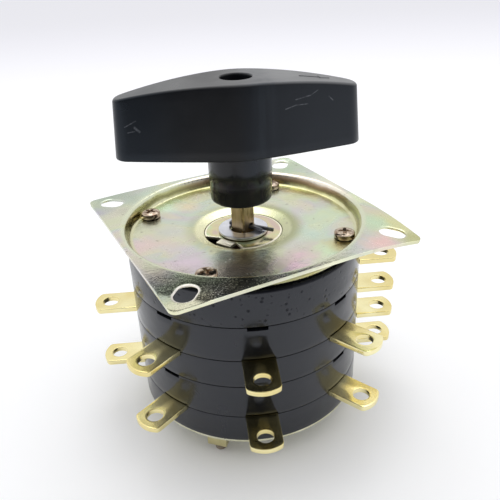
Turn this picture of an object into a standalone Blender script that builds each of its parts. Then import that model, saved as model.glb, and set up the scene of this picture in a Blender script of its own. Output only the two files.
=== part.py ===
"""Rotary wafer switch: a lever handle, a sheet steel mounting plate and two switching poles of eight positions.

Units are metres. +Z runs up the shaft, the plate's sides run along X and Y, and the bolt ends stand on Z = 0.
Angles are measured from +X, counterclockwise seen from above.
"""

import math

import bmesh
import bpy
import numpy as np
from mathutils import Matrix

# Clearance between pieces that touch or slide on each other
GAP = 0.0003

# Moulded bodies, from the bottom of the stack to the top
BODY_RADIUS = 0.04135
LOWER_WAFER_HEIGHT = 0.01045
UPPER_WAFER_HEIGHT = 0.01275
HOUSING_HEIGHT = 0.0129
WAFER_FLOOR = 0.0030
WAFER_DECK = 0.0032
WAFER_WALL = 0.01385
JOURNAL_RADIUS = 0.0090
POLES = 2

# Detent housing
HOUSING_WALL = 0.01035
HOUSING_DECK = 0.0020
DISC_LEDGE = 0.0010

# Mounting plate
SHEET = 0.0011
PLATE_SIDE = 0.0880
PLATE_CORNER_RADIUS = 0.0026
DISH_INSET = 0.00095
DISH_DEPTH = 0.00437
DISH_DRAFT = 0.0007
DISH_FILLET = 0.0012
SHOULDER_RADIUS = 0.0013
FLAT_FLANGE_WIDTH = 0.0025
CORNER_DROOP = 0.0004
HUB_HOLE_RADIUS = 0.0143
HUB_SLOPE_WIDTH = 0.0040
HUB_DROP = 0.00143
SLOT_TO_CORNER = 0.0102
SLOT_LENGTH = 0.0087
SLOT_WIDTH = 0.0062

# Clamp bolts, and the square nuts under the rear plate
BOLT_COUNT = 4
BOLT_INSET = 0.00505
BOLT_RADIUS = 0.0020
BOLT_HEAD_RADIUS = 0.0036
BOLT_HEAD_HEIGHT = 0.0023
BOLT_HEAD_CROWN = 0.0006
BOLT_STUB = 0.0038
RECESS_SPAN = 0.0042
RECESS_WIDTH = 0.0011
RECESS_DEPTH = 0.0014
RECESS_TURNS = (0.35, 0.95, 0.10, 0.60)
REAR_PLATE_INSET = 0.00025
REAR_PLATE_THICKNESS = 0.0010
NUT_SIDE = 0.0070
NUT_HEIGHT = 0.0043

# Terminals
POSITIONS = 8
TERMINAL_WIDTH = 0.0110
TERMINAL_THICKNESS = 0.0018
TERMINAL_RISE = 0.0006
TERMINAL_PROJECTION = 0.0153
TERMINAL_TIP_RADIUS = 0.0088
TERMINAL_HOLE_RADIUS = 0.00285
HOLE_TO_TIP = 0.00573
CONTACT_RADIUS = 0.0170
CONTACT_WIDTH = 0.0060
NECK_WIDTH = 0.0061
COLLECTOR_WIDTH = 0.0033
KEY_SLOT_WIDTH = 0.0067
KEY_SLOT_HEIGHT = 0.0012
KEY_SLOT_LENGTH = 0.0040

# Shaft and what it carries
SHAFT_WIDTH = 0.0060
SHAFT_EDGE = 0.0004
TAIL_RADIUS = 0.0029
TAIL_LENGTH = 0.0031
CLIP_GROOVE_DEPTH = 0.0007
CLIP_THICKNESS = 0.0008
CLIP_WIDTH = 0.0029
CLIP_OPENING = 0.0036
WASHER_RADIUS = 0.0088
WASHER_HOLE_RADIUS = 0.0047
WASHER_THICKNESS = 0.0010
PIN_WIDTH = 0.0015
PIN_THICKNESS = 0.0012
PIN_HEAD_REACH = 0.0052
PIN_LONG_LEG = 0.0118
PIN_SHORT_LEG = 0.0078
PIN_ANGLE = math.radians(-52.0)
PIN_LEG_TIP = 0.0006
ROTOR_FLANGE_RADIUS = 0.0140
BLADE_WIDTH = 0.0060
BLADE_THICKNESS = 0.0012

# Stop disc with its tongue, and the detent
DISC_RIM_GAP = 0.0004
TONGUE_ANGLE = math.radians(209.2)
TONGUE_WIDTH = 0.0060
TONGUE_REACH = 0.0124
NOTCH_START = math.radians(167.5)
NOTCH_START_LEAN = math.radians(-44.5)
NOTCH_END = math.radians(242.6)
NOTCH_END_LEAN = math.radians(90.0)
WHEEL_SURROUND = 0.0100
WHEEL_VALLEY_DEPTH = 0.0024
STOP_LUG_WIDTH = 0.0024
STOP_LUG_LENGTH = 0.0022
SPRING_THICKNESS = 0.0008
SPRING_HEIGHT = 0.0068
SPRING_STANDOFF = 0.0023
SPRING_SEAT_DEPTH = 0.0013
SPRING_NOSE_RADIUS = 0.0018
SPRING_NOSE_HALF_WIDTH = 0.0046

# Lever handle
HANDLE_LENGTH = 0.0812
HANDLE_WIDTH = 0.0274
HANDLE_END_WIDTH = 0.0114
HANDLE_CORNER_RADIUS = 0.0053
HANDLE_DRAFT = 0.0014
HANDLE_LEAD = math.radians(1.9)
HANDLE_WAIST = 0.0030
HANDLE_BOW = 1.15
HANDLE_SIDE_HEIGHT = 0.0189
HANDLE_CROWN = 0.0047
HANDLE_TOP_FILLET = 0.0009
HANDLE_BOTTOM_FILLET = 0.0005
HANDLE_WALL = 0.0026
HANDLE_RIB = 0.0020
HANDLE_RIB_DROP = 0.0070
NECK_RADIUS = 0.01085
NECK_STEP = 0.00015
NECK_FOOT_RADIUS = 0.01065
NECK_FILLET = 0.0010
NECK_LENGTH = 0.01765
NECK_FOOT_LENGTH = 0.0086
NECK_CLEARANCE = 0.00725
SCREW_WELL_RADIUS = 0.0052
WEB_THICKNESS = 0.0030
WEB_RISE = 0.0029
SCREW_RADIUS = 0.0015
SCREW_LENGTH = 0.0120
SCREW_HEAD_RADIUS = 0.0029
SCREW_HEAD_HEIGHT = 0.0022
SCREW_SLOT_WIDTH = 0.0008

# How finely round shapes are faceted
BODY_FACETS = 48
HUB_FACETS = 24
SMALL_FACETS = 16
BORE_FACETS = 12
HANDLE_STATIONS = 15
REACH_THROUGH = 0.0010

# Heights that follow from the stack
REAR_PLATE_Z = BOLT_STUB + NUT_HEIGHT + GAP
REAR_PLATE_TOP = REAR_PLATE_Z + REAR_PLATE_THICKNESS
POLE_HEIGHT = LOWER_WAFER_HEIGHT + UPPER_WAFER_HEIGHT + 2 * GAP
LOWER_WAFER_Z = [REAR_PLATE_TOP + GAP + (POLES - 1 - pole) * POLE_HEIGHT for pole in range(POLES)]
UPPER_WAFER_Z = [z + LOWER_WAFER_HEIGHT + GAP for z in LOWER_WAFER_Z]
TERMINAL_TOP = [z + LOWER_WAFER_HEIGHT + TERMINAL_RISE for z in LOWER_WAFER_Z]
HOUSING_Z = UPPER_WAFER_Z[0] + UPPER_WAFER_HEIGHT + GAP
HOUSING_TOP = HOUSING_Z + HOUSING_HEIGHT
DISH_FLOOR_Z = HOUSING_TOP + GAP + SHEET
FLANGE_Z = DISH_FLOOR_Z + DISH_DEPTH
HUB_SEAT_Z = HOUSING_TOP - HUB_DROP
DISC_TOP = HUB_SEAT_Z + GAP + SHEET
WASHER_Z = DISC_TOP + GAP
PIN_Z = WASHER_Z + WASHER_THICKNESS + GAP
NECK_Z = FLANGE_Z + NECK_CLEARANCE
HANDLE_Z = NECK_Z + NECK_LENGTH
HANDLE_TOP = HANDLE_Z + HANDLE_SIDE_HEIGHT + HANDLE_CROWN
WEB_Z = HANDLE_Z + WEB_RISE
SHAFT_TOP = WEB_Z - GAP

# Angles and radii that follow
CAVITY_RADIUS = BODY_RADIUS - WAFER_WALL
CHAMBER_RADIUS = BODY_RADIUS - HOUSING_WALL
DISH_RADIUS = BODY_RADIUS - DISH_INSET
BOLT_PITCH_RADIUS = BODY_RADIUS - BOLT_INSET
REAR_PLATE_RADIUS = BODY_RADIUS - REAR_PLATE_INSET
SLOT_PITCH_RADIUS = PLATE_SIDE / math.sqrt(2) - SLOT_TO_CORNER
WHEEL_RADIUS = CHAMBER_RADIUS - WHEEL_SURROUND
SPRING_OFFSET = WHEEL_RADIUS + SPRING_STANDOFF
BOLT_ANGLES = [math.pi / BOLT_COUNT + i * 2 * math.pi / BOLT_COUNT for i in range(BOLT_COUNT)]
POSITION_ANGLES = [(i + 0.5) * 2 * math.pi / POSITIONS for i in range(POSITIONS)]
COMMON_ANGLE = -0.5 * 2 * math.pi / POSITIONS
SQUARE_ANGLE = COMMON_ANGLE + math.pi / 4
HANDLE_ANGLE = COMMON_ANGLE + HANDLE_LEAD
BORE_RADIUS = JOURNAL_RADIUS + GAP
HUB_RADIUS = HUB_HOLE_RADIUS + HUB_SLOPE_WIDTH
DISC_RADIUS = HUB_HOLE_RADIUS - DISC_RIM_GAP
DECK_HOLE_RADIUS = DISC_RADIUS - DISC_LEDGE
TERMINAL_REACH = BODY_RADIUS + TERMINAL_PROJECTION
COLLECTOR_RADIUS = BORE_RADIUS + COLLECTOR_WIDTH
SOCKET_WIDTH = SHAFT_WIDTH + 2 * GAP
WHEEL_Z = HOUSING_Z
CHAMBER_TOP = HUB_SEAT_Z - HOUSING_DECK
WHEEL_TOP = CHAMBER_TOP - GAP
VALLEY_RADIUS = WHEEL_RADIUS - WHEEL_VALLEY_DEPTH


# Small geometry helpers


def on_circle(radius, angle):
    return (radius * math.cos(angle), radius * math.sin(angle))


def arc(centre, radius, start, end, steps):
    """Points from one angle to the other, both ends included."""
    angles = np.linspace(start, end, steps + 1)
    return [(centre[0] + radius * math.cos(a), centre[1] + radius * math.sin(a)) for a in angles]


def ring_outline(radius, facets):
    return arc((0, 0), radius, 0, 2 * math.pi, facets)[:-1]


def rounded_box_outline(length, width, radius, steps):
    """A rectangle about the origin whose corners are quarter arcs."""
    x, y = length / 2 - radius, width / 2 - radius
    corners = [(x, y, 0), (-x, y, 1), (-x, -y, 2), (x, -y, 3)]
    points = []
    for cx, cy, quarter in corners:
        start = quarter * math.pi / 2
        points += arc((cx, cy), radius, start, start + math.pi / 2, steps)
    return points


def turned_outline(points, angle, offset=(0.0, 0.0)):
    """The outline turned about the origin and then shifted."""
    c, s = math.cos(angle), math.sin(angle)
    return [(x * c - y * s + offset[0], x * s + y * c + offset[1]) for x, y in points]


def crossing(p, p_angle, q, q_angle):
    """Where the line through p and the line through q meet."""
    dx, dy = math.cos(p_angle), math.sin(p_angle)
    ex, ey = math.cos(q_angle), math.sin(q_angle)
    t = ((q[0] - p[0]) * ey - (q[1] - p[1]) * ex) / (dx * ey - dy * ex)
    return (p[0] + t * dx, p[1] + t * dy)


# Objects, materials and solids


def clear_scene():
    for obj in list(bpy.data.objects):
        bpy.data.objects.remove(obj, do_unlink=True)


def make_collection(name):
    collection = bpy.data.collections.new(name)
    bpy.context.scene.collection.children.link(collection)
    return collection


def make_material(name, colour, roughness, metallic):
    material = bpy.data.materials.new(name)
    material.use_nodes = True
    shader = material.node_tree.nodes["Principled BSDF"]
    shader.inputs["Base Color"].default_value = (*colour, 1.0)
    shader.inputs["Roughness"].default_value = roughness
    shader.inputs["Metallic"].default_value = metallic
    return material


def add_object(name, mesh, collection):
    obj = bpy.data.objects.new(name, mesh)
    collection.objects.link(obj)
    return obj


def as_helper(obj):
    """Moves an object to the helpers, which shape the parts and are not parts themselves."""
    for collection in list(obj.users_collection):
        collection.objects.unlink(obj)
    HELPERS.objects.link(obj)
    obj.hide_render = True
    obj.display_type = "WIRE"
    return obj


def evaluated_mesh(obj):
    bpy.context.view_layer.update()
    graph = bpy.context.evaluated_depsgraph_get()
    return bpy.data.meshes.new_from_object(obj.evaluated_get(graph))


def weld(mesh):
    bm = bmesh.new()
    bm.from_mesh(mesh)
    bmesh.ops.remove_doubles(bm, verts=bm.verts, dist=1e-6)
    bmesh.ops.recalc_face_normals(bm, faces=bm.faces)
    bm.to_mesh(mesh)
    bm.free()


def flat_solid(name, outlines, bottom, top):
    """Closed outlines filled and extruded from bottom to top. An outline inside another is a hole."""
    curve = bpy.data.curves.new(name, "CURVE")
    curve.dimensions = "2D"
    curve.fill_mode = "BOTH"
    curve.extrude = (top - bottom) / 2
    for outline in outlines:
        spline = curve.splines.new("POLY")
        spline.points.add(len(outline) - 1)
        for point, (x, y) in zip(spline.points, outline):
            point.co = (x, y, 0.0, 1.0)
        spline.use_cyclic_u = True
    drawn = add_object(name, curve, PARTS)
    mesh = evaluated_mesh(drawn)
    bpy.data.objects.remove(drawn, do_unlink=True)
    weld(mesh)
    mesh.name = name
    mesh.transform(Matrix.Translation((0.0, 0.0, (bottom + top) / 2)))
    return add_object(name, mesh, PARTS)


def turned_solid(name, profile, facets, closed):
    """A profile of (radius, height) points turned round Z. An open profile starts and ends on the axis."""
    mesh = bpy.data.meshes.new(name)
    points = [(radius, 0.0, z) for radius, z in profile]
    edges = [(i, i + 1) for i in range(len(points) - 1)]
    if closed:
        edges.append((len(points) - 1, 0))
    mesh.from_pydata(points, edges, [])
    obj = add_object(name, mesh, PARTS)
    screw = obj.modifiers.new("turn", "SCREW")
    screw.steps = facets
    screw.render_steps = facets
    screw.use_merge_vertices = True
    screw.merge_threshold = 1e-6
    obj.data = evaluated_mesh(obj)
    obj.modifiers.clear()
    weld(obj.data)
    return obj


def box(name, size, centre, angle=0.0):
    """A box that is turned about Z and then moved to its centre."""
    bm = bmesh.new()
    bmesh.ops.create_cube(bm, size=1.0)
    bmesh.ops.scale(bm, vec=size, verts=bm.verts)
    mesh = bpy.data.meshes.new(name)
    bm.to_mesh(mesh)
    bm.free()
    obj = add_object(name, mesh, PARTS)
    obj.location = centre
    obj.rotation_euler.z = angle
    return obj


def box_from_axis(name, angle, start, end, width, bottom, top):
    """A box that lies along a radius, from one distance off the axis to another."""
    middle = on_circle((start + end) / 2, angle)
    size = (end - start, width, top - bottom)
    return box(name, size, (*middle, (bottom + top) / 2), angle)


def shape(obj, other, operation):
    modifier = obj.modifiers.new(other.name, "BOOLEAN")
    modifier.operation = operation
    modifier.solver = "EXACT"
    modifier.object = as_helper(other)


def cut(obj, *others):
    for other in others:
        shape(obj, other, "DIFFERENCE")


def join(obj, *others):
    for other in others:
        shape(obj, other, "UNION")


def finish(obj, material, parent=None):
    """Merges what lies in one plane, applies the modifiers, and sets the shading, material and parent."""
    flat = obj.modifiers.new("flat_faces", "DECIMATE")
    flat.decimate_type = "DISSOLVE"
    flat.angle_limit = math.radians(0.2)
    obj.data = evaluated_mesh(obj)
    obj.modifiers.clear()
    obj.data.name = obj.name
    obj.data.materials.clear()
    obj.data.materials.append(material)
    obj.data.shade_smooth()
    obj.data.set_sharp_from_angle(angle=math.radians(32))
    obj.parent = parent
    return obj


def bolt_hole_cutter(name):
    """One helper that holds a round hole through the whole stack for each bolt."""
    holes = []
    for angle in BOLT_ANGLES:
        hole = ring_outline(BOLT_RADIUS + GAP, BORE_FACETS)
        holes.append(turned_outline(hole, angle, on_circle(BOLT_PITCH_RADIUS, angle)))
    return flat_solid(name, holes, -REACH_THROUGH, FLANGE_Z)


# Mounting plate


def plate_profile():
    """The plate's upper face from the hub hole out past the corners."""
    foot = (DISH_RADIUS - DISH_FILLET, DISH_FLOOR_Z + DISH_FILLET)
    shoulder = (DISH_RADIUS + DISH_DRAFT + SHOULDER_RADIUS, FLANGE_Z - SHOULDER_RADIUS)
    profile = [
        (HUB_HOLE_RADIUS, DISH_FLOOR_Z - HUB_DROP),
        (HUB_RADIUS, DISH_FLOOR_Z),
    ]
    profile += arc(foot, DISH_FILLET, -math.pi / 2, 0, 2)
    profile += arc(shoulder, SHOULDER_RADIUS, math.pi, math.pi / 2, 2)
    flat_end = shoulder[0] + FLAT_FLANGE_WIDTH
    corner = PLATE_SIDE / math.sqrt(2) - PLATE_CORNER_RADIUS * (math.sqrt(2) - 1)
    for share in (0.0, 0.5, 1.1):
        radius = flat_end + (corner - flat_end) * share
        profile.append((radius, FLANGE_Z - CORNER_DROOP * share**1.5))
    return profile


def mounting_plate(material):
    """Pressed from one sheet: a hub that slopes down to its hole, a dish, and a square flange with low corners."""
    name = "mounting_plate"
    profile = plate_profile()
    sheet = bpy.data.meshes.new(name)
    edges = [(i, i + 1) for i in range(len(profile) - 1)]
    sheet.from_pydata([(radius, 0.0, z) for radius, z in profile], edges, [])
    plate = add_object(name, sheet, PARTS)
    screw = plate.modifiers.new("turn", "SCREW")
    screw.steps = BODY_FACETS
    screw.render_steps = BODY_FACETS
    screw.use_merge_vertices = True
    screw.merge_threshold = 1e-6
    plate.data = evaluated_mesh(plate)
    plate.modifiers.clear()
    weld(plate.data)
    wall = plate.modifiers.new("sheet", "SOLIDIFY")
    wall.thickness = SHEET
    wall.offset = -1.0
    wall.use_even_offset = True
    outline = rounded_box_outline(PLATE_SIDE, PLATE_SIDE, PLATE_CORNER_RADIUS, 4)
    shape(plate, flat_solid("plate_edge", [outline], HUB_SEAT_Z - 0.005, FLANGE_Z + 0.005), "INTERSECT")
    slots = []
    for angle in BOLT_ANGLES:
        slot = rounded_box_outline(SLOT_LENGTH, SLOT_WIDTH, SLOT_WIDTH / 2 - 1e-5, 3)
        slots.append(turned_outline(slot, angle, on_circle(SLOT_PITCH_RADIUS, angle)))
    cut(plate, flat_solid("corner_slots", slots, HUB_SEAT_Z, FLANGE_Z + 0.005))
    cut(plate, bolt_hole_cutter("plate_bolt_holes"))
    return finish(plate, material)


# Moulded housing and wafers


def detent_housing(material):
    """A cup that opens downwards, with a seat for the plate's hub and pockets for the spring ends."""
    seat_radius = HUB_RADIUS + SHEET / 2 + GAP
    profile = [
        (BODY_RADIUS, HOUSING_TOP),
        (BODY_RADIUS, HOUSING_Z),
        (CHAMBER_RADIUS, HOUSING_Z),
        (CHAMBER_RADIUS, CHAMBER_TOP),
        (DECK_HOLE_RADIUS, CHAMBER_TOP),
        (DECK_HOLE_RADIUS, HUB_SEAT_Z),
        (seat_radius, HUB_SEAT_Z),
        (seat_radius, HOUSING_TOP),
    ]
    housing = turned_solid("detent_housing", profile, BODY_FACETS, closed=True)
    cut(housing, bolt_hole_cutter("housing_bolt_holes"))
    wall_x = math.sqrt(CHAMBER_RADIUS**2 - (SPRING_OFFSET + SPRING_THICKNESS) ** 2)
    end_x = spring_end() + GAP
    start_x = wall_x - 2 * SPRING_SEAT_DEPTH
    size = (end_x - start_x, SPRING_THICKNESS + 2 * GAP, HOUSING_HEIGHT)
    for side in (1, -1):
        for end in (1, -1):
            y = side * (SPRING_OFFSET + SPRING_THICKNESS / 2)
            centre = (end * (start_x + end_x) / 2, y, CHAMBER_TOP - HOUSING_HEIGHT / 2)
            cut(housing, box("spring_seat", size, centre))
    return finish(housing, material)


def upper_wafer(pole, material):
    """A wafer that opens downwards. Its deck carries the common terminal and has the mould's eight key slots."""
    z = UPPER_WAFER_Z[pole]
    top = z + UPPER_WAFER_HEIGHT
    profile = [
        (BODY_RADIUS, top),
        (BODY_RADIUS, z),
        (CAVITY_RADIUS, z),
        (CAVITY_RADIUS, top - WAFER_DECK),
        (BORE_RADIUS, top - WAFER_DECK),
        (BORE_RADIUS, top),
    ]
    wafer = turned_solid(f"upper_wafer_{pole + 1}", profile, BODY_FACETS, closed=True)
    cut(wafer, bolt_hole_cutter("upper_bolt_holes"))
    depth = TERMINAL_THICKNESS + GAP
    lifted = top + REACH_THROUGH
    seat = ring_outline(COLLECTOR_RADIUS + GAP, HUB_FACETS)
    cut(wafer, flat_solid("collector_seat", [seat], top - depth, lifted))
    outside = BODY_RADIUS + REACH_THROUGH
    width = NECK_WIDTH + 2 * GAP
    slot = box_from_axis("common_slot", COMMON_ANGLE, BORE_RADIUS, outside, width, top - depth, lifted)
    cut(wafer, slot)
    for angle in POSITION_ANGLES[:-1]:
        inside = BODY_RADIUS - KEY_SLOT_LENGTH
        floor = top - KEY_SLOT_HEIGHT
        cut(wafer, box_from_axis("key_slot", angle, inside, outside, KEY_SLOT_WIDTH, floor, lifted))
    terminal_slots(wafer, z - REACH_THROUGH, TERMINAL_TOP[pole] + GAP)
    return finish(wafer, material)


def terminal_slots(wafer, bottom, top):
    """Cuts a slot through the wafer's wall for each position terminal."""
    inside = CAVITY_RADIUS - REACH_THROUGH
    outside = BODY_RADIUS + REACH_THROUGH
    width = TERMINAL_WIDTH + 2 * GAP
    for angle in POSITION_ANGLES:
        cut(wafer, box_from_axis("terminal_slot", angle, inside, outside, width, bottom, top))


def lower_wafer(pole, material):
    """A wafer that opens upwards. Its rim and the upper wafer's hold the position terminals between them."""
    z = LOWER_WAFER_Z[pole]
    top = z + LOWER_WAFER_HEIGHT
    profile = [
        (BODY_RADIUS, top),
        (BODY_RADIUS, z),
        (BORE_RADIUS, z),
        (BORE_RADIUS, z + WAFER_FLOOR),
        (CAVITY_RADIUS, z + WAFER_FLOOR),
        (CAVITY_RADIUS, top),
    ]
    wafer = turned_solid(f"lower_wafer_{pole + 1}", profile, BODY_FACETS, closed=True)
    cut(wafer, bolt_hole_cutter("lower_bolt_holes"))
    terminal_slots(wafer, TERMINAL_TOP[pole] - TERMINAL_THICKNESS - GAP, top + REACH_THROUGH)
    return finish(wafer, material)


# Terminals


def tip_outline():
    """The end of every terminal: a shallow arc between its two corners."""
    half = TERMINAL_WIDTH / 2
    spread = math.asin(half / TERMINAL_TIP_RADIUS)
    return arc((TERMINAL_REACH - TERMINAL_TIP_RADIUS, 0), TERMINAL_TIP_RADIUS, -spread, spread, 4)


def terminal_hole():
    hole = ring_outline(TERMINAL_HOLE_RADIUS, SMALL_FACETS)
    return turned_outline(hole, 0.0, (TERMINAL_REACH - HOLE_TO_TIP, 0.0))


def position_terminals(pole, material):
    """Stamped strips between the two wafers. Inside, they narrow to the contact that the blade meets."""
    narrow = CONTACT_WIDTH / 2
    outline = tip_outline() + [
        (CAVITY_RADIUS - GAP, TERMINAL_WIDTH / 2),
        (CONTACT_RADIUS, narrow),
        (CONTACT_RADIUS, -narrow),
        (CAVITY_RADIUS - GAP, -TERMINAL_WIDTH / 2),
    ]
    first = None
    for number, angle in enumerate(POSITION_ANGLES, 1):
        name = f"terminal_{pole + 1}_{number}"
        if first is None:
            first = flat_solid(name, [outline, terminal_hole()], 0.0, TERMINAL_THICKNESS)
            terminal = finish(first, material)
        else:
            terminal = add_object(name, first.data, PARTS)
        terminal.location.z = TERMINAL_TOP[pole] - TERMINAL_THICKNESS
        terminal.rotation_euler.z = angle


def common_terminal(pole, material):
    """A strip with shoulders outside the wafer and a collector ring round the rotor inside it."""
    top = UPPER_WAFER_Z[pole] + UPPER_WAFER_HEIGHT
    shoulder = BODY_RADIUS + GAP
    half = NECK_WIDTH / 2
    join_angle = math.asin(half / COLLECTOR_RADIUS)
    ring = arc((0, 0), COLLECTOR_RADIUS, join_angle, 2 * math.pi - join_angle, HUB_FACETS - 4)
    outline = tip_outline() + [(shoulder, TERMINAL_WIDTH / 2), (shoulder, half)]
    outline += ring + [(shoulder, -half), (shoulder, -TERMINAL_WIDTH / 2)]
    bore = ring_outline(BORE_RADIUS, HUB_FACETS)
    holes = [terminal_hole(), bore]
    name = f"common_terminal_{pole + 1}"
    terminal = flat_solid(name, [outline] + holes, 0.0, TERMINAL_THICKNESS)
    terminal.location.z = top - TERMINAL_THICKNESS
    terminal.rotation_euler.z = COMMON_ANGLE
    return finish(terminal, material)


# Rear plate, bolts and nuts


def rear_plate(material):
    """A round sheet with the shaft's bearing hole and the holes for the bolts."""
    bearing = ring_outline(TAIL_RADIUS + GAP, SMALL_FACETS)
    disc = ring_outline(REAR_PLATE_RADIUS, BODY_FACETS)
    plate = flat_solid("rear_plate", [disc, bearing], REAR_PLATE_Z, REAR_PLATE_TOP)
    cut(plate, bolt_hole_cutter("rear_bolt_holes"))
    return finish(plate, material)


def clamp_nuts(material):
    """Square nuts under the rear plate, each with a flat towards the rim. The thread is a plain bore."""
    half = NUT_SIDE / 2
    outlines = [
        [(half, half), (-half, half), (-half, -half), (half, -half)],
        ring_outline(BOLT_RADIUS + GAP, BORE_FACETS),
    ]
    nut = finish(flat_solid("clamp_nut_1", outlines, 0.0, NUT_HEIGHT), material)
    for number, angle in enumerate(BOLT_ANGLES, 1):
        if number > 1:
            nut = add_object(f"clamp_nut_{number}", nut.data, PARTS)
        nut.location = (*on_circle(BOLT_PITCH_RADIUS, angle), BOLT_STUB)
        nut.rotation_euler.z = angle


def clamp_bolts(material):
    """Round-headed bolts with a cross recess, from the dish floor down to what the switch stands on."""
    seat = DISH_FLOOR_Z + GAP
    side = BOLT_HEAD_HEIGHT - BOLT_HEAD_CROWN
    profile = [
        (0.0, seat + BOLT_HEAD_HEIGHT),
        (BOLT_HEAD_RADIUS * 0.7, seat + BOLT_HEAD_HEIGHT - BOLT_HEAD_CROWN / 2),
        (BOLT_HEAD_RADIUS, seat + side),
        (BOLT_HEAD_RADIUS, seat),
        (BOLT_RADIUS, seat),
        (BOLT_RADIUS, 0.0),
        (0.0, 0.0),
    ]
    bolt = turned_solid("clamp_bolt_1", profile, SMALL_FACETS, closed=False)
    centre = (0.0, 0.0, seat + BOLT_HEAD_HEIGHT)
    for size in ((RECESS_SPAN, RECESS_WIDTH), (RECESS_WIDTH, RECESS_SPAN)):
        cut(bolt, box("recess", (*size, 2 * RECESS_DEPTH), centre))
    finish(bolt, material)
    for number, (angle, turn) in enumerate(zip(BOLT_ANGLES, RECESS_TURNS), 1):
        if number > 1:
            bolt = add_object(f"clamp_bolt_{number}", bolt.data, PARTS)
        bolt.location.xy = on_circle(BOLT_PITCH_RADIUS, angle)
        bolt.rotation_euler.z = turn


# Stop disc and detent


def stop_disc_outline():
    """A disc with a notch. The notch's two sides run in to the tongue that stands in it."""
    side = TONGUE_WIDTH / 2
    along = (math.cos(TONGUE_ANGLE), math.sin(TONGUE_ANGLE))
    across = (-along[1], along[0])
    tip = (along[0] * TONGUE_REACH, along[1] * TONGUE_REACH)
    tip_start = (tip[0] - across[0] * side, tip[1] - across[1] * side)
    tip_end = (tip[0] + across[0] * side, tip[1] + across[1] * side)
    start = on_circle(DISC_RADIUS, NOTCH_START)
    end = on_circle(DISC_RADIUS, NOTCH_END)
    root_start = crossing(start, NOTCH_START_LEAN, tip_start, TONGUE_ANGLE)
    root_end = crossing(end, NOTCH_END_LEAN, tip_end, TONGUE_ANGLE)
    rim = arc((0, 0), DISC_RADIUS, NOTCH_END - 2 * math.pi, NOTCH_START, HUB_FACETS)
    return rim + [root_start, tip_start, tip_end, root_end]


def stop_disc(material):
    """A sheet disc on the housing's ledge. Its tongue bends down and is the stop for the detent wheel."""
    hole = ring_outline(SHAFT_WIDTH / math.sqrt(2) + GAP, SMALL_FACETS)
    disc = flat_solid("stop_disc", [stop_disc_outline(), hole], DISC_TOP - SHEET, DISC_TOP)
    start = TONGUE_REACH - SHEET
    bottom = WHEEL_TOP + GAP
    top = DISC_TOP - SHEET / 2
    join(disc, box_from_axis("tongue_end", TONGUE_ANGLE, start, TONGUE_REACH, TONGUE_WIDTH, bottom, top))
    return finish(disc, material)


def wheel_outline():
    """Radius swings once for each position between the lobes' tops and the valleys."""
    middle = (WHEEL_RADIUS + VALLEY_RADIUS) / 2
    swing = (WHEEL_RADIUS - VALLEY_RADIUS) / 2
    angles = np.linspace(0, 2 * math.pi, POSITIONS * 6 + 1)[:-1]
    return [on_circle(middle - swing * math.cos(POSITIONS * a), a) for a in angles]


def square_hole():
    half = SOCKET_WIDTH / 2
    corners = [(half, half), (-half, half), (-half, -half), (half, -half)]
    return turned_outline(corners, SQUARE_ANGLE)


def detent_wheel(material, parent):
    """A lobed wheel on the shaft's square. The lug on top of it meets the tongue at both ends of the travel."""
    wheel = flat_solid("detent_wheel", [wheel_outline(), square_hole()], WHEEL_Z, WHEEL_TOP)
    middle_position = TONGUE_ANGLE + math.pi + math.pi / POSITIONS
    top = DISC_TOP - SHEET - GAP
    end = DECK_HOLE_RADIUS - 2 * GAP
    start = end - STOP_LUG_LENGTH
    bottom = WHEEL_TOP - REACH_THROUGH
    lug = box_from_axis("stop_lug", middle_position, start, end, STOP_LUG_WIDTH, bottom, top)
    join(wheel, lug)
    return finish(wheel, material, parent)


def spring_end():
    """How far along X each spring reaches into its seat in the chamber wall."""
    return math.sqrt(CHAMBER_RADIUS**2 - (SPRING_OFFSET + SPRING_THICKNESS) ** 2) + SPRING_SEAT_DEPTH


def detent_spring(number, side, material):
    """A leaf across the chamber whose formed nose drops into a valley of the wheel."""
    tip = VALLEY_RADIUS + GAP
    nose = SPRING_NOSE_RADIUS
    right = arc((0, tip + nose), nose, -math.pi / 2, -math.radians(25), 2)
    right += [(SPRING_NOSE_HALF_WIDTH, SPRING_OFFSET), (spring_end(), SPRING_OFFSET)]
    path = [(-x, y) for x, y in reversed(right[1:])] + right
    bottom = (WHEEL_Z + WHEEL_TOP - SPRING_HEIGHT) / 2
    points = [(x, y, bottom) for x, y in path] + [(x, y, bottom + SPRING_HEIGHT) for x, y in path]
    count = len(path)
    faces = [(i + 1, i, i + count, i + count + 1) for i in range(count - 1)]
    strip = bpy.data.meshes.new("strip")
    strip.from_pydata(points, [], faces)
    spring = add_object(f"detent_spring_{number}", strip, PARTS)
    wall = spring.modifiers.new("thickness", "SOLIDIFY")
    wall.thickness = SPRING_THICKNESS
    wall.offset = 1.0
    wall.use_even_offset = True
    spring.rotation_euler.z = 0.0 if side > 0 else math.pi
    return finish(spring, material)


# Shaft, washer, pin and clip


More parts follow.
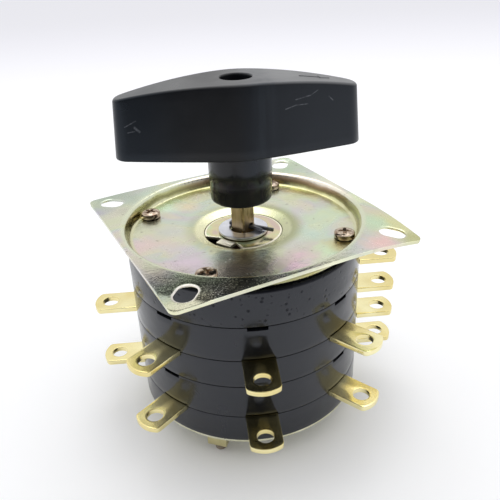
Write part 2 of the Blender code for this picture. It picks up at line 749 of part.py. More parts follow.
def shaft(material, parent):
    """A square bar with a round tail for the rear bearing, a pin hole and a screw hole."""
    bottom = REAR_PLATE_TOP + GAP
    outline = rounded_box_outline(SHAFT_WIDTH, SHAFT_WIDTH, SHAFT_EDGE, 1)
    bar = flat_solid("shaft", [turned_outline(outline, SQUARE_ANGLE)], bottom, SHAFT_TOP)
    clip_top = REAR_PLATE_Z - GAP
    groove_bottom = clip_top - CLIP_THICKNESS - GAP
    groove = TAIL_RADIUS - CLIP_GROOVE_DEPTH
    profile = [
        (0.0, bottom + REACH_THROUGH),
        (TAIL_RADIUS, bottom + REACH_THROUGH),
        (TAIL_RADIUS, clip_top + GAP),
        (groove, clip_top + GAP),
        (groove, groove_bottom),
        (TAIL_RADIUS, groove_bottom),
        (TAIL_RADIUS, REAR_PLATE_Z - TAIL_LENGTH),
        (0.0, REAR_PLATE_Z - TAIL_LENGTH),
    ]
    join(bar, turned_solid("tail", profile, SMALL_FACETS, closed=False))
    hole = ring_outline(PIN_WIDTH / 2 + 2 * GAP, BORE_FACETS)
    pin_hole = flat_solid("pin_hole", [hole], -SHAFT_WIDTH, SHAFT_WIDTH)
    pin_hole.rotation_euler = (math.pi / 2, 0.0, PIN_ANGLE + math.pi / 2)
    pin_hole.location.z = PIN_Z + PIN_THICKNESS / 2
    cut(bar, pin_hole)
    thread = ring_outline(SCREW_RADIUS + GAP, BORE_FACETS)
    depth = SCREW_LENGTH - WEB_THICKNESS + REACH_THROUGH
    cut(bar, flat_solid("screw_hole", [thread], SHAFT_TOP - depth, SHAFT_TOP + REACH_THROUGH))
    return finish(bar, material, parent)


def shaft_washer(material, parent):
    outlines = [ring_outline(WASHER_RADIUS, HUB_FACETS), ring_outline(WASHER_HOLE_RADIUS, HUB_FACETS)]
    washer = flat_solid("shaft_washer", outlines, WASHER_Z, WASHER_Z + WASHER_THICKNESS)
    return finish(washer, material, parent)


def split_pin(material, parent):
    """A flat split pin through the shaft, over the washer: a blunt head, one long leg and one short leg."""
    half = PIN_WIDTH / 2
    spread = PIN_WIDTH * 0.9
    outline = [
        (-PIN_HEAD_REACH, half),
        (-PIN_HEAD_REACH, -half),
        (SHAFT_WIDTH * 0.75, -half),
        (PIN_SHORT_LEG, -half - spread),
        (PIN_SHORT_LEG, -half - spread + PIN_LEG_TIP),
        (SHAFT_WIDTH * 0.95, -half * 0.3),
        (PIN_LONG_LEG, half - PIN_LEG_TIP),
        (PIN_LONG_LEG, half),
    ]
    pin = flat_solid("split_pin", [outline], PIN_Z, PIN_Z + PIN_THICKNESS)
    pin.rotation_euler.z = PIN_ANGLE
    return finish(pin, material, parent)


def rear_clip(material, parent):
    """An open ring in the tail's groove, under the rear plate."""
    inner = TAIL_RADIUS - CLIP_GROOVE_DEPTH + GAP
    outer = inner + CLIP_WIDTH
    inner_turn = math.asin(CLIP_OPENING / 2 / inner)
    outer_turn = math.asin(CLIP_OPENING / 2 / outer)
    outline = arc((0, 0), outer, outer_turn, 2 * math.pi - outer_turn, SMALL_FACETS)
    outline += arc((0, 0), inner, 2 * math.pi - inner_turn, inner_turn, SMALL_FACETS)
    top = REAR_PLATE_Z - GAP
    clip = flat_solid("rear_clip", [outline], top - CLIP_THICKNESS, top)
    return finish(clip, material, parent)


# Rotors and contact blades


def rotor(pole, material, parent):
    """Two journals and a flange on the shaft's square, with a groove for the contact blade."""
    z = LOWER_WAFER_Z[pole]
    flange_z = z + WAFER_FLOOR + GAP
    groove_floor = TERMINAL_TOP[pole]
    flange_top = groove_floor + BLADE_THICKNESS / 2
    top = UPPER_WAFER_Z[pole] + UPPER_WAFER_HEIGHT
    profile = [
        (0.0, top),
        (JOURNAL_RADIUS, top),
        (JOURNAL_RADIUS, flange_top),
        (ROTOR_FLANGE_RADIUS, flange_top),
        (ROTOR_FLANGE_RADIUS, flange_z),
        (JOURNAL_RADIUS, flange_z),
        (JOURNAL_RADIUS, z),
        (0.0, z),
    ]
    body = turned_solid(f"rotor_{pole + 1}", profile, HUB_FACETS, closed=False)
    cut(body, flat_solid("rotor_square", [square_hole()], z - REACH_THROUGH, top + REACH_THROUGH))
    width = BLADE_WIDTH + 2 * GAP
    inside = blade_leg_radius() - GAP
    outside = ROTOR_FLANGE_RADIUS + REACH_THROUGH
    lifted = top + REACH_THROUGH
    cut(body, box_from_axis("blade_groove", COMMON_ANGLE, inside, outside, width, groove_floor, lifted))
    return finish(body, material, parent)


def blade_leg_radius():
    """How far the inner face of the blade's upright leg is from the axis."""
    return math.sqrt(JOURNAL_RADIUS**2 - (BLADE_WIDTH / 2) ** 2) - BLADE_THICKNESS


def contact_blade(pole, material, parent):
    """A bent strip: an upright leg inside the collector ring, and a long leg that ends over the middle of a contact."""
    bottom = TERMINAL_TOP[pole] + GAP
    top = UPPER_WAFER_Z[pole] + UPPER_WAFER_HEIGHT - GAP
    inner = blade_leg_radius()
    outer = inner + BLADE_THICKNESS
    reach = (CONTACT_RADIUS + CAVITY_RADIUS) / 2
    bend = BLADE_THICKNESS
    outline = [(inner, top), (inner, bottom + bend)]
    outline += arc((inner + bend, bottom + bend), bend, math.pi, 1.5 * math.pi, 3)[1:]
    outline += [(reach, bottom), (reach, bottom + BLADE_THICKNESS)]
    outline += [(outer, bottom + BLADE_THICKNESS), (outer, top)]
    blade = flat_solid(f"contact_blade_{pole + 1}", [outline], -BLADE_WIDTH / 2, BLADE_WIDTH / 2)
    blade.rotation_euler = (math.pi / 2, 0.0, COMMON_ANGLE)
    return finish(blade, material, parent)


# Lever handle


def handle_outline(margin):
    """The lever's foot from above, drawn in by a margin: bowed flanks, a soft middle and narrow, rounded ends."""
    half_length = HANDLE_LENGTH / 2 - margin
    half_width = HANDLE_WIDTH / 2 - margin
    corner = max(HANDLE_CORNER_RADIUS - margin, GAP)
    flat = HANDLE_END_WIDTH / 2 - margin - corner
    turn = math.radians(75)
    front = [(half_length, -flat)] + arc((half_length - corner, -flat), corner, 0, -turn, 3)[1:]
    start, end_half = front[-1][0], -front[-1][1]
    longest = math.hypot(start, HANDLE_WAIST) - HANDLE_WAIST
    for x in np.linspace(start, -start, HANDLE_STATIONS + 2)[1:-1]:
        share = (math.hypot(x, HANDLE_WAIST) - HANDLE_WAIST) / longest
        front.append((float(x), (half_width - end_half) * share**HANDLE_BOW - half_width))
    front += [(-x, y) for x, y in reversed(front[:-HANDLE_STATIONS])]
    return np.array(front + [(x, -y) for x, y in reversed(front)])


def crown(x):
    """Height of the handle's top at a distance along the lever."""
    return HANDLE_TOP - HANDLE_CROWN * (x / (HANDLE_LENGTH / 2)) ** 2


def lofted(name, rings):
    """Skins a stack of rings, lowest first. A ring's halves mirror each other, so strips close both ends."""
    count = len(rings[0])
    half = count // 2
    faces = []
    for level in range(len(rings) - 1):
        low, high = level * count, (level + 1) * count
        for i in range(count):
            j = (i + 1) % count
            faces.append((low + i, high + i, high + j, low + j))
    last = (len(rings) - 1) * count
    for i in range(half - 1):
        a, b, c, d = i, i + 1, count - 2 - i, count - 1 - i
        faces.append((a, b, c, d))
        faces.append((last + d, last + c, last + b, last + a))
    mesh = bpy.data.meshes.new(name)
    mesh.from_pydata(np.concatenate(rings).tolist(), [], faces)
    weld(mesh)
    return add_object(name, mesh, PARTS)


def level_ring(outline, z):
    return np.column_stack([outline, np.full(len(outline), z)])


def crown_ring(outline, drop):
    return np.column_stack([outline, crown(outline[:, 0]) - drop])


def handle_shell():
    """The outside, whose walls draw in towards the top, with its edge fillets, less the hollow underneath."""
    low, high = HANDLE_BOTTOM_FILLET, HANDLE_TOP_FILLET
    soft = 1 - math.sqrt(0.5)
    rings = [
        level_ring(handle_outline(low), HANDLE_Z),
        level_ring(handle_outline(0.0), HANDLE_Z + low),
        crown_ring(handle_outline(HANDLE_DRAFT), high),
        crown_ring(handle_outline(HANDLE_DRAFT + high * soft), high * soft),
        crown_ring(handle_outline(HANDLE_DRAFT + high), 0.0),
    ]
    shell = lofted("lever_handle", rings)
    mouth = level_ring(handle_outline(HANDLE_WALL), HANDLE_Z - REACH_THROUGH)
    roof = crown_ring(handle_outline(HANDLE_WALL + HANDLE_DRAFT), HANDLE_WALL)
    cut(shell, lofted("handle_hollow", [mouth, roof]))
    return shell


def lever_handle(material, parent):
    """A moulded lever on a round neck, with a rib under each arm, a square socket and a well for the screw."""
    handle = handle_shell()
    foot = NECK_Z + NECK_FOOT_LENGTH
    profile = [
        (0.0, HANDLE_TOP - HANDLE_WALL / 2),
        (NECK_RADIUS, HANDLE_TOP - HANDLE_WALL / 2),
        (NECK_RADIUS, foot),
        (NECK_RADIUS - NECK_STEP, foot),
    ]
    centre = (NECK_FOOT_RADIUS - NECK_FILLET, NECK_Z + NECK_FILLET)
    profile += arc(centre, NECK_FILLET, 0, -math.pi / 2, 3) + [(0.0, NECK_Z)]
    neck = turned_solid("neck", profile, BODY_FACETS // 2, closed=False)
    arm = HANDLE_LENGTH / 2 - HANDLE_DRAFT - HANDLE_WALL / 2
    rib_bottom = HANDLE_Z + HANDLE_RIB_DROP
    rib_top = HANDLE_TOP - HANDLE_CROWN - HANDLE_WALL / 2
    for end in (1, -1):
        size = (arm - NECK_RADIUS / 2, HANDLE_RIB, rib_top - rib_bottom)
        middle = (end * (arm + NECK_RADIUS / 2) / 2, 0.0, (rib_top + rib_bottom) / 2)
        join(handle, box("rib", size, middle))
    join(handle, neck)
    well = ring_outline(SCREW_WELL_RADIUS, HUB_FACETS)
    seat = WEB_Z + WEB_THICKNESS
    cut(handle, flat_solid("screw_well", [well], seat, HANDLE_TOP + REACH_THROUGH))
    square = turned_outline(square_hole(), -HANDLE_ANGLE)
    cut(handle, flat_solid("socket", [square], NECK_Z - REACH_THROUGH, WEB_Z))
    passage = ring_outline(SCREW_RADIUS + GAP, BORE_FACETS)
    cut(handle, flat_solid("screw_passage", [passage], WEB_Z - REACH_THROUGH, seat + REACH_THROUGH))
    finish(handle, material, parent)
    handle.rotation_euler.z = HANDLE_ANGLE
    return handle


def handle_screw(material, parent):
    """A slotted screw that pulls the handle down on the shaft."""
    seat = WEB_Z + WEB_THICKNESS + GAP
    top = seat + SCREW_HEAD_HEIGHT
    profile = [
        (0.0, top),
        (SCREW_HEAD_RADIUS * 0.8, top),
        (SCREW_HEAD_RADIUS, top - SCREW_HEAD_RADIUS * 0.2),
        (SCREW_HEAD_RADIUS, seat),
        (SCREW_RADIUS, seat),
        (SCREW_RADIUS, seat - SCREW_LENGTH),
        (0.0, seat - SCREW_LENGTH),
    ]
    screw = turned_solid("handle_screw", profile, SMALL_FACETS, closed=False)
    slot = (3 * SCREW_HEAD_RADIUS, SCREW_SLOT_WIDTH, SCREW_HEAD_HEIGHT)
    cut(screw, box("screw_slot", slot, (0.0, 0.0, top)))
    return finish(screw, material, parent)


def build():
    black = make_material("black_bakelite", (0.018, 0.018, 0.021), 0.25, 0.0)
    handle_black = make_material("black_plastic", (0.016, 0.016, 0.018), 0.38, 0.0)
    brown = make_material("brown_bakelite", (0.09, 0.035, 0.018), 0.4, 0.0)
    passivated = make_material("passivated_zinc", (0.74, 0.71, 0.52), 0.28, 1.0)
    bronze = make_material("dark_passivated_steel", (0.42, 0.32, 0.18), 0.3, 1.0)
    brass = make_material("brass", (0.80, 0.66, 0.34), 0.25, 1.0)
    zinc = make_material("bright_zinc", (0.80, 0.81, 0.84), 0.35, 1.0)
    dark_steel = make_material("dark_steel", (0.12, 0.12, 0.13), 0.35, 1.0)
    spring_steel = make_material("spring_steel", (0.45, 0.45, 0.47), 0.3, 1.0)

    axis = bpy.data.objects.new("shaft_turn", None)
    PARTS.objects.link(axis)

    mounting_plate(passivated)
    stop_disc(passivated)
    rear_plate(passivated)
    clamp_bolts(bronze)
    clamp_nuts(passivated)
    detent_housing(black)
    detent_wheel(brown, axis)
    for number, side in enumerate((1, -1), 1):
        detent_spring(number, side, spring_steel)
    for pole in range(POLES):
        upper_wafer(pole, black)
        lower_wafer(pole, black)
        position_terminals(pole, brass)
        common_terminal(pole, brass)
        rotor(pole, brown, axis)
        contact_blade(pole, brass, axis)
    shaft(bronze, axis)
    shaft_washer(zinc, axis)
    split_pin(dark_steel, axis)
    rear_clip(dark_steel, axis)
    lever_handle(handle_black, axis)
    handle_screw(zinc, axis)


clear_scene()
PARTS = make_collection("rotary_wafer_switch")
HELPERS = make_collection("helpers")
build()
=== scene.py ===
"""Looks of the rotary wafer switch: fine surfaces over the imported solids, their finishes, the light and the camera.

Shapes are worked out in mm and stored in metres. Angles run from +X, counterclockwise seen from above.
"""

from functools import cached_property

import bmesh
import bpy
import numpy as np
from mathutils import Matrix
from numpy import arange, arcsin, arctan2, array, clip, cos, hypot, linspace, pi, radians, sin, sqrt, stack
from numpy.linalg import norm


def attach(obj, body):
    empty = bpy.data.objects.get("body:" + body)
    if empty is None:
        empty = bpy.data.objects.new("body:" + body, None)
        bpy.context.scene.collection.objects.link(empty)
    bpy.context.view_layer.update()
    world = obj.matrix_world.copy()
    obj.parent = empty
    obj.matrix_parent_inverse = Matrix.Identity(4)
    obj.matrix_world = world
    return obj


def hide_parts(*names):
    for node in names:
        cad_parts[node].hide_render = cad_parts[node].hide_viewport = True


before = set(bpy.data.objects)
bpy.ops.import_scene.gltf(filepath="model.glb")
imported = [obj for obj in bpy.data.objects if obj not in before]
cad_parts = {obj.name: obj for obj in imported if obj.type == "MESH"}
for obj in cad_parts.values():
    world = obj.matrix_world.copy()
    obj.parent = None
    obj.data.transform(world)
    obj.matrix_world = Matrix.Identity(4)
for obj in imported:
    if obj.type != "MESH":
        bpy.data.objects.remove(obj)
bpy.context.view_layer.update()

FIXED, TURNING = "body", "shaft_assembly"
MM = 0.001
HALF_ROOT = sqrt(0.5)

# Heights above what the switch stands on, in mm
NUTS = (3.8, 8.1)
REAR_PLATE = (8.4, 9.4)
LOWER_WAFERS = ((33.5, 43.95), (9.7, 20.15))
UPPER_WAFERS = ((44.25, 57.0), (20.45, 33.2))
TERMINALS = ((42.75, 44.55), (18.95, 20.75))
HOUSING = (57.3, 70.2)
CHAMBER_TOP = 66.77
HUB_SEAT = 68.77
DISH_FLOOR = 71.6
FLANGE = 75.97
DISC = (69.07, 70.17)
WASHER = (70.47, 71.47)
PIN = (71.77, 72.97)
NECK_FOOT = 83.22
HANDLE_BASE = 100.87
HANDLE_WEB = (103.77, 106.77)
HANDLE_TOP = 124.47

# Radii and other measures. A slot and a hole have their place out from the axis, half their length and half their
# width, and the crown is how far the lever's top falls to its ends
BODY = 41.35
BOLT_CIRCLE = 36.3
HALF_PLATE = 44.0
HUB_FOOT = 18.0
SLOT = (52.0, 4.35, 3.1)
BOLT_HOLE = (BOLT_CIRCLE, 2.31, 2.3)
DISC_RIM = 13.9
DISC_HOLE = 4.6
HALF_LEVER = 40.6
CROWN = 4.7
DIAGONALS = radians([45, 135, 225, 315])
POSITIONS = radians(22.5 + 45 * arange(8))
COMMON_TURN = radians(-22.5)
# How far each tab stands turned off its position, pole by pole, in degrees
LEANS = ((0.5, 0.3, -0.3, -0.4, 0.8, 0.8, 0.2, 0.5), (0.4, -0.3, 0.2, -0.3, 1.0, 1.1, 0.4, 0.5))
# How far the shaft's square and the lever stand turned, and where the stop disc's tongue points
SQUARE_TURN = radians(22.5)
HANDLE_TURN = radians(-20.6)
TONGUE = radians(209.2)
# How far the lever's sides lean in up to the top
DRAFT = 1.4
# How far each moulding reaches down into the gap under it, so that the seams show as fine lines
SEAM = array([0.14, 0.0])
# The wafers' bore and the radius of the hollow in them
BORE = 9.3
CAVITY = 27.5


# Loops and grids


def joined(*parts):
    """Points or numbers one after the other."""
    return np.concatenate(parts)


def heading(angle):
    """x and y of a step of length one."""
    return array([cos(angle), sin(angle)])


def circle(radius, angles, centre=(0, 0)):
    """Points at a radius from the centre, one for each angle."""
    return stack([centre[0] + radius * cos(angles), centre[1] + radius * sin(angles)], -1)


def around(count):
    """Evenly spaced angles of one full turn."""
    return linspace(0, 2 * pi, count, endpoint=False)


def turned(points, angle):
    """x and y turned about the origin by the angle."""
    c, s = cos(angle), sin(angle)
    out = array(points, float)
    out[..., 0] = points[..., 0] * c - points[..., 1] * s
    out[..., 1] = points[..., 0] * s + points[..., 1] * c
    return out


def resampled(corners, count):
    """A closed line through the corners at count equal steps of its length."""
    closed = joined(corners, corners[:1])
    steps = norm(np.diff(closed, axis=0), axis=1)
    length = joined([0], np.cumsum(steps))
    at = linspace(0, length[-1], count, endpoint=False)
    return stack([np.interp(at, length, closed[:, k]) for k in (0, 1)], -1)


def bar(start, end, half):
    """The corners of a bar along X."""
    return array([(start, -half), (end, -half), (end, half), (start, half)])


def with_corners(corners, spacing):
    """A closed line through the corners, with each side cut in equal steps near the spacing."""
    ends = np.roll(corners, -1, axis=0)
    out = []
    for start, end in zip(corners, ends):
        count = max(1, int(round(norm(end - start) / spacing)))
        share = arange(count)[:, None] / count
        out.append(start + (end - start) * share)
    return np.concatenate(out)


def grid(points, close_rows=False, keep=None):
    """Points of a grid whose last column closes on its first, and the quads between neighbours, masked by keep."""
    rows, columns = points.shape[:2]
    i, j = np.meshgrid(arange(rows if close_rows else rows - 1), arange(columns), indexing="ij")
    if keep is not None:
        i, j = i[keep], j[keep]
    down, across = (i + 1) % rows, (j + 1) % columns
    quads = stack([i * columns + j, down * columns + j, down * columns + across, i * columns + across], -1)
    return points.reshape(-1, 3), quads.reshape(-1, 4)


def raised(flat, height):
    """Points of x and y with a height, which is one number or fits their rows and columns."""
    return np.concatenate([flat, np.broadcast_to(height, flat.shape[:-1])[..., None]], -1)


def rounding(edge):
    """How far the four points of a quarter arc stay behind the two faces that it joins."""
    t = linspace(0, pi / 2, 4)
    return edge * (1 - sin(t)), edge * (1 - cos(t))


def carried(inner, outer, share, shift, height, close_rows):
    """A section carried along two loops: each of its points lies at a share of the line from the inner to the outer
    one, shifted along it, and at its own height."""
    line = outer - inner
    along = line / np.maximum(norm(line, axis=1, keepdims=True), 1e-9)
    flat = inner + line * share[:, None, None] + along * shift[:, None, None]
    return grid(raised(flat, height[:, None]), close_rows)


def band(inner, outer, low, high, edge, steps=3):
    """A closed flat ring between two loops: the section runs up the inner wall, out over the top, down the outer wall
    and back below, with a quarter arc at each edge."""
    near, far = rounding(edge)
    middle, blank, none = linspace(0, 1, steps + 2)[1:-1], np.zeros(steps), np.zeros(4)
    share = joined(none, none, middle, none + 1, none + 1, middle[::-1])
    shift = joined(near, far, blank, -near, -far, blank)
    height = joined(low + far, high - near, blank + high, high - far, low + near, blank + low)
    return carried(inner, outer, share, shift, height, True)


def post(outline, low, high, edge, steps=4):
    """A closed prism over an outline: the section runs from the middle of the top out, down the side and back to the
    middle of the bottom, with a quarter arc at both rims."""
    near, far = rounding(edge)
    middle, blank, full = linspace(0, 1, steps + 1)[:-1], np.zeros(steps), np.ones(4)
    share = joined(middle, full, full, middle[::-1])
    shift = joined(blank, -near, -far, blank)
    height = joined(blank + high, high - far, low + near, blank + low)
    return carried(outline.mean(0), outline, share, shift, height, False)


def revolved(profile, angles):
    """Each (radius, height) of the profile carried round the axis through every angle."""
    profile = np.asarray(profile, float)
    return raised(profile[:, :1, None] * circle(1, angles), profile[:, 1:])


def arc(centre, radius, start, end, steps):
    """(radius, height) points on an arc, angles in degrees, both ends included."""
    return circle(radius, radians(linspace(start, end, steps)), centre)


def moved(shape, offset):
    """A (points, quads) shape shifted by an offset."""
    return shape[0] + offset, shape[1]


def spun(shape, angle):
    """A (points, quads) shape turned about the axis."""
    return turned(shape[0], angle), shape[1]


def welded(name, shapes, dissolve=True):
    """A mesh from (points, quads) shapes. Seams and poles are merged and the faces turned outwards."""
    counts = np.cumsum([0] + [len(points) for points, _ in shapes])
    quads = np.concatenate([quads + count for (_, quads), count in zip(shapes, counts)])
    mesh = bpy.data.meshes.new(name)
    mesh.from_pydata((np.concatenate([points for points, _ in shapes]) * MM).tolist(), [], quads.tolist())
    bm = bmesh.new()
    bm.from_mesh(mesh)
    bmesh.ops.remove_doubles(bm, verts=bm.verts, dist=2e-6)
    if dissolve:
        bmesh.ops.dissolve_degenerate(bm, edges=bm.edges, dist=1e-7)
    bmesh.ops.recalc_face_normals(bm, faces=bm.faces)
    bm.to_mesh(mesh)
    bm.free()
    return mesh


def smoothed(mesh, sharp=33):
    mesh.shade_smooth()
    mesh.set_sharp_from_angle(angle=radians(sharp))


def placed(name, data):
    obj = bpy.data.objects.new(name, data)
    bpy.context.scene.collection.objects.link(obj)
    return obj


def piece(node, kind, shapes, finish, body=FIXED, replaces=True, sharp=33):
    """One object of (points, quads) shapes, which rides on a body and stands for the node it is named after."""
    name = f"{node}_{kind}"
    mesh = welded(name, shapes)
    mesh.materials.append(finish)
    smoothed(mesh, sharp)
    obj = placed(name, mesh)
    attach(obj, body)
    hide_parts(*([node] if replaces else []))
    return obj


def modified(obj, kind, **settings):
    modifier = obj.modifiers.new(kind.lower(), kind)
    for name, value in settings.items():
        setattr(modifier, name, value)


def settled(obj):
    """Puts the result of the modifiers into the mesh and shades it again."""
    bpy.context.view_layer.update()
    graph = bpy.context.evaluated_depsgraph_get()
    mesh = bpy.data.meshes.new_from_object(obj.evaluated_get(graph))
    obj.modifiers.clear()
    obj.data = mesh
    smoothed(mesh)


def hollowed(obj, cutters):
    """Takes the cutters, which are (points, quads) shapes, out of the object."""
    for number, shape in enumerate(cutters):
        name = f"{obj.name}_cutter_{number}"
        cutter = placed(name, welded(name, [shape], dissolve=False))
        modified(obj, "BOOLEAN", operation="DIFFERENCE", solver="EXACT", object=cutter)
        settled(obj)
        bpy.data.objects.remove(cutter)


# Finishes


class Value:
    """What a node tree works out at each point. Sums, differences, products and abs() of values become nodes."""

    def __init__(self, nodes, socket):
        self.nodes, self.socket = nodes, socket

    def __add__(self, other):
        return self.nodes.maths("ADD", self, other)

    def __sub__(self, other):
        return self.nodes.maths("SUBTRACT", self, other)

    def __mul__(self, other):
        return self.nodes.maths("MULTIPLY", self, other)

    def __abs__(self):
        return self.nodes.maths("ABSOLUTE", self)


class Nodes:
    """A node tree, which each call adds a node to. An underscore in a socket's name stands for a space."""

    def __init__(self, tree):
        self.tree = tree

    def add(self, kind, **inputs):
        node = self.tree.nodes.new(kind)
        for name, value in inputs.items():
            self.put(node.inputs[name.replace("_", " ")], value)
        return node

    def put(self, socket, value):
        if isinstance(value, Value):
            self.tree.links.new(value.socket, socket)
        else:
            socket.default_value = (*value, 1) if socket.type == "RGBA" else value

    def out(self, node, name=0):
        return Value(self, node.outputs[name])

    def worked(self, kind, operation, values):
        node = self.add(kind)
        node.operation = operation
        for socket, value in zip(node.inputs, values):
            self.put(socket, value)
        return node

    def maths(self, operation, *values):
        return self.out(self.worked("ShaderNodeMath", operation, values))

    def largest(self, a, b):
        return self.maths("MAXIMUM", a, b)

    def vector(self, operation, *values):
        node = self.worked("ShaderNodeVectorMath", operation, values)
        return self.out(node, "Value" if operation in ("DISTANCE", "LENGTH", "DOT_PRODUCT") else "Vector")

    def split(self, vector):
        node = self.add("ShaderNodeSeparateXYZ", Vector=vector)
        return [self.out(node, axis) for axis in "XYZ"]

    def rise(self, value, low, high, first=0, last=1):
        """Goes smoothly from first to last while the value goes from low to high."""
        node = self.add("ShaderNodeMapRange", Value=value, From_Min=low, From_Max=high, To_Min=first, To_Max=last)
        node.interpolation_type = "SMOOTHSTEP"
        return self.out(node)

    def fall(self, value, low, high, first=1, last=0):
        return self.rise(value, low, high, first, last)

    def ramp(self, value, *stops):
        node = self.add("ShaderNodeValToRGB", Fac=value)
        elements = node.color_ramp.elements
        while len(elements) < len(stops):
            elements.new(0.5)
        for element, (place, colour) in zip(elements, stops):
            element.position = place
            element.color = (*colour, 1)
        return self.out(node)

    def mix(self, share, a, b):
        node = self.add("ShaderNodeMix")
        node.data_type = "RGBA"
        colours = [socket for socket in node.inputs if socket.type == "RGBA"]
        for socket, value in zip([node.inputs[0], *colours], (share, a, b)):
            self.put(socket, value)
        return Value(self, next(socket for socket in node.outputs if socket.type == "RGBA"))


class Finish(Nodes):
    """A material. What it measures is in mm, and the scales of its noises are per metre."""

    def __init__(self, name, colour, roughness, metallic=0):
        self.material = bpy.data.materials.new(name)
        self.material.use_nodes = True
        super().__init__(self.material.node_tree)
        self.shade(Base_Color=colour, Roughness=roughness, Metallic=metallic)
        self.coordinates = self.out(self.add("ShaderNodeTexCoord"), "Object")

    def shade(self, **sockets):
        for name, value in sockets.items():
            self.put(self.tree.nodes["Principled BSDF"].inputs[name.replace("_", " ")], value)
        return self.material

    def done(self, colour, roughness, normal, **sockets):
        return self.shade(Base_Color=colour, Roughness=roughness, Normal=normal, **sockets)

    @cached_property
    def place(self):
        return self.stretched(1 / MM, 1 / MM, 1 / MM)

    @cached_property
    def axes(self):
        return self.split(self.place)

    @cached_property
    def flat(self):
        return self.stretched(1 / MM, 1 / MM, 0)

    @cached_property
    def radius(self):
        return self.vector("LENGTH", self.flat)

    def stretched(self, *scale):
        return self.vector("MULTIPLY", self.coordinates, scale)

    def toward(self, x, y):
        """How far a point lies from the axis in a direction."""
        return self.vector("DOT_PRODUCT", self.flat, (x, y, 0))

    def noise(self, scale, detail=3, distortion=0, roughness=0.5, source=None, output=0):
        node = self.add("ShaderNodeTexNoise", Scale=scale, Detail=detail, Distortion=distortion, Roughness=roughness)
        self.put(node.inputs["Vector"], source or self.coordinates)
        return self.out(node, output)

    def bump(self, height, strength, distance, under=None):
        node = self.add("ShaderNodeBump", Strength=strength, Distance=distance * MM, Height=height)
        if under:
            self.put(node.inputs["Normal"], under)
        return self.out(node)


# Patches on the plate: x, y and radius, and their strength and colour in percent. Most are tints of its yellow
# passivation; a few are painted reflection and painted shade, marked below
FILM_TINTS_AND_PAINTED_LIGHT = (
    (-34, 44, 22, 100, (43, 50, 40)),
    (-42, 30, 10, 90, (46, 44, 52)),
    (-20, 31, 12, 90, (72, 90, 70)),
    (-12, 27, 8, 80, (80, 68, 46)),
    (-30, 22, 9, 80, (52, 52, 42)),
    (-34, 4, 13, 90, (74, 58, 56)),
    (-27, -4, 8, 80, (66, 60, 64)),
    (-22, 11, 9, 70, (60, 60, 58)),
    (-28, -15, 12, 90, (74, 62, 70)),
    (-16, -24, 12, 80, (90, 78, 72)),
    (3, -33, 12, 90, (90, 62, 74)),
    (8, -20, 9, 70, (70, 68, 68)),
    (18, -17, 12, 90, (58, 70, 60)),
    (14, -32, 9, 80, (70, 86, 58)),
    # Painted shade beside a bolt
    (21, -29, 8, 90, (60, 52, 24)),
    (30, -10, 12, 80, (64, 74, 52)),
    (27, 13, 13, 80, (66, 72, 46)),
    (33, 20, 6, 80, (90, 86, 46)),
    (41, -30, 16, 100, (72, 70, 36)),
    (42, -8, 12, 100, (76, 84, 54)),
    (43, 10, 10, 90, (86, 84, 68)),
    (38, 32, 15, 90, (48, 62, 42)),
    (16, 43, 14, 60, (64, 70, 50)),
    (36, -27, 9, 80, (54, 72, 52)),
    (31, -40, 9, 90, (86, 58, 54)),
    (44, -42, 8, 100, (54, 54, 27)),
    # Painted dark reflection in the front corner, this row and the next
    (-33, -34, 14, 90, (36, 42, 27)),
    (-20, -40, 12, 80, (48, 50, 34)),
    (-45, -43, 9, 100, (93, 98, 56)),
    (-36, -44, 7, 80, (98, 92, 66)),
    # Painted bright reflection near the front edge
    (8, -43, 14, 100, (98, 99, 74)),
)

# Painted reflection bands of the dish wall, with a painted highlight at the shoulder: the share of its height, and the
# colour in front and behind
WALL_REFLECTION_BANDS = (
    (0, (0.66, 0.65, 0.42), (0.80, 0.78, 0.42)),
    (0.14, (0.44, 0.43, 0.20), (0.46, 0.42, 0.18)),
    (0.34, (0.30, 0.29, 0.13), (0.30, 0.21, 0.10)),
    (0.58, (0.48, 0.47, 0.21), (0.46, 0.32, 0.18)),
    (0.78, (0.64, 0.66, 0.36), (0.70, 0.54, 0.40)),
    (0.94, (0.70, 0.73, 0.55), (0.95, 0.88, 0.76)),
)


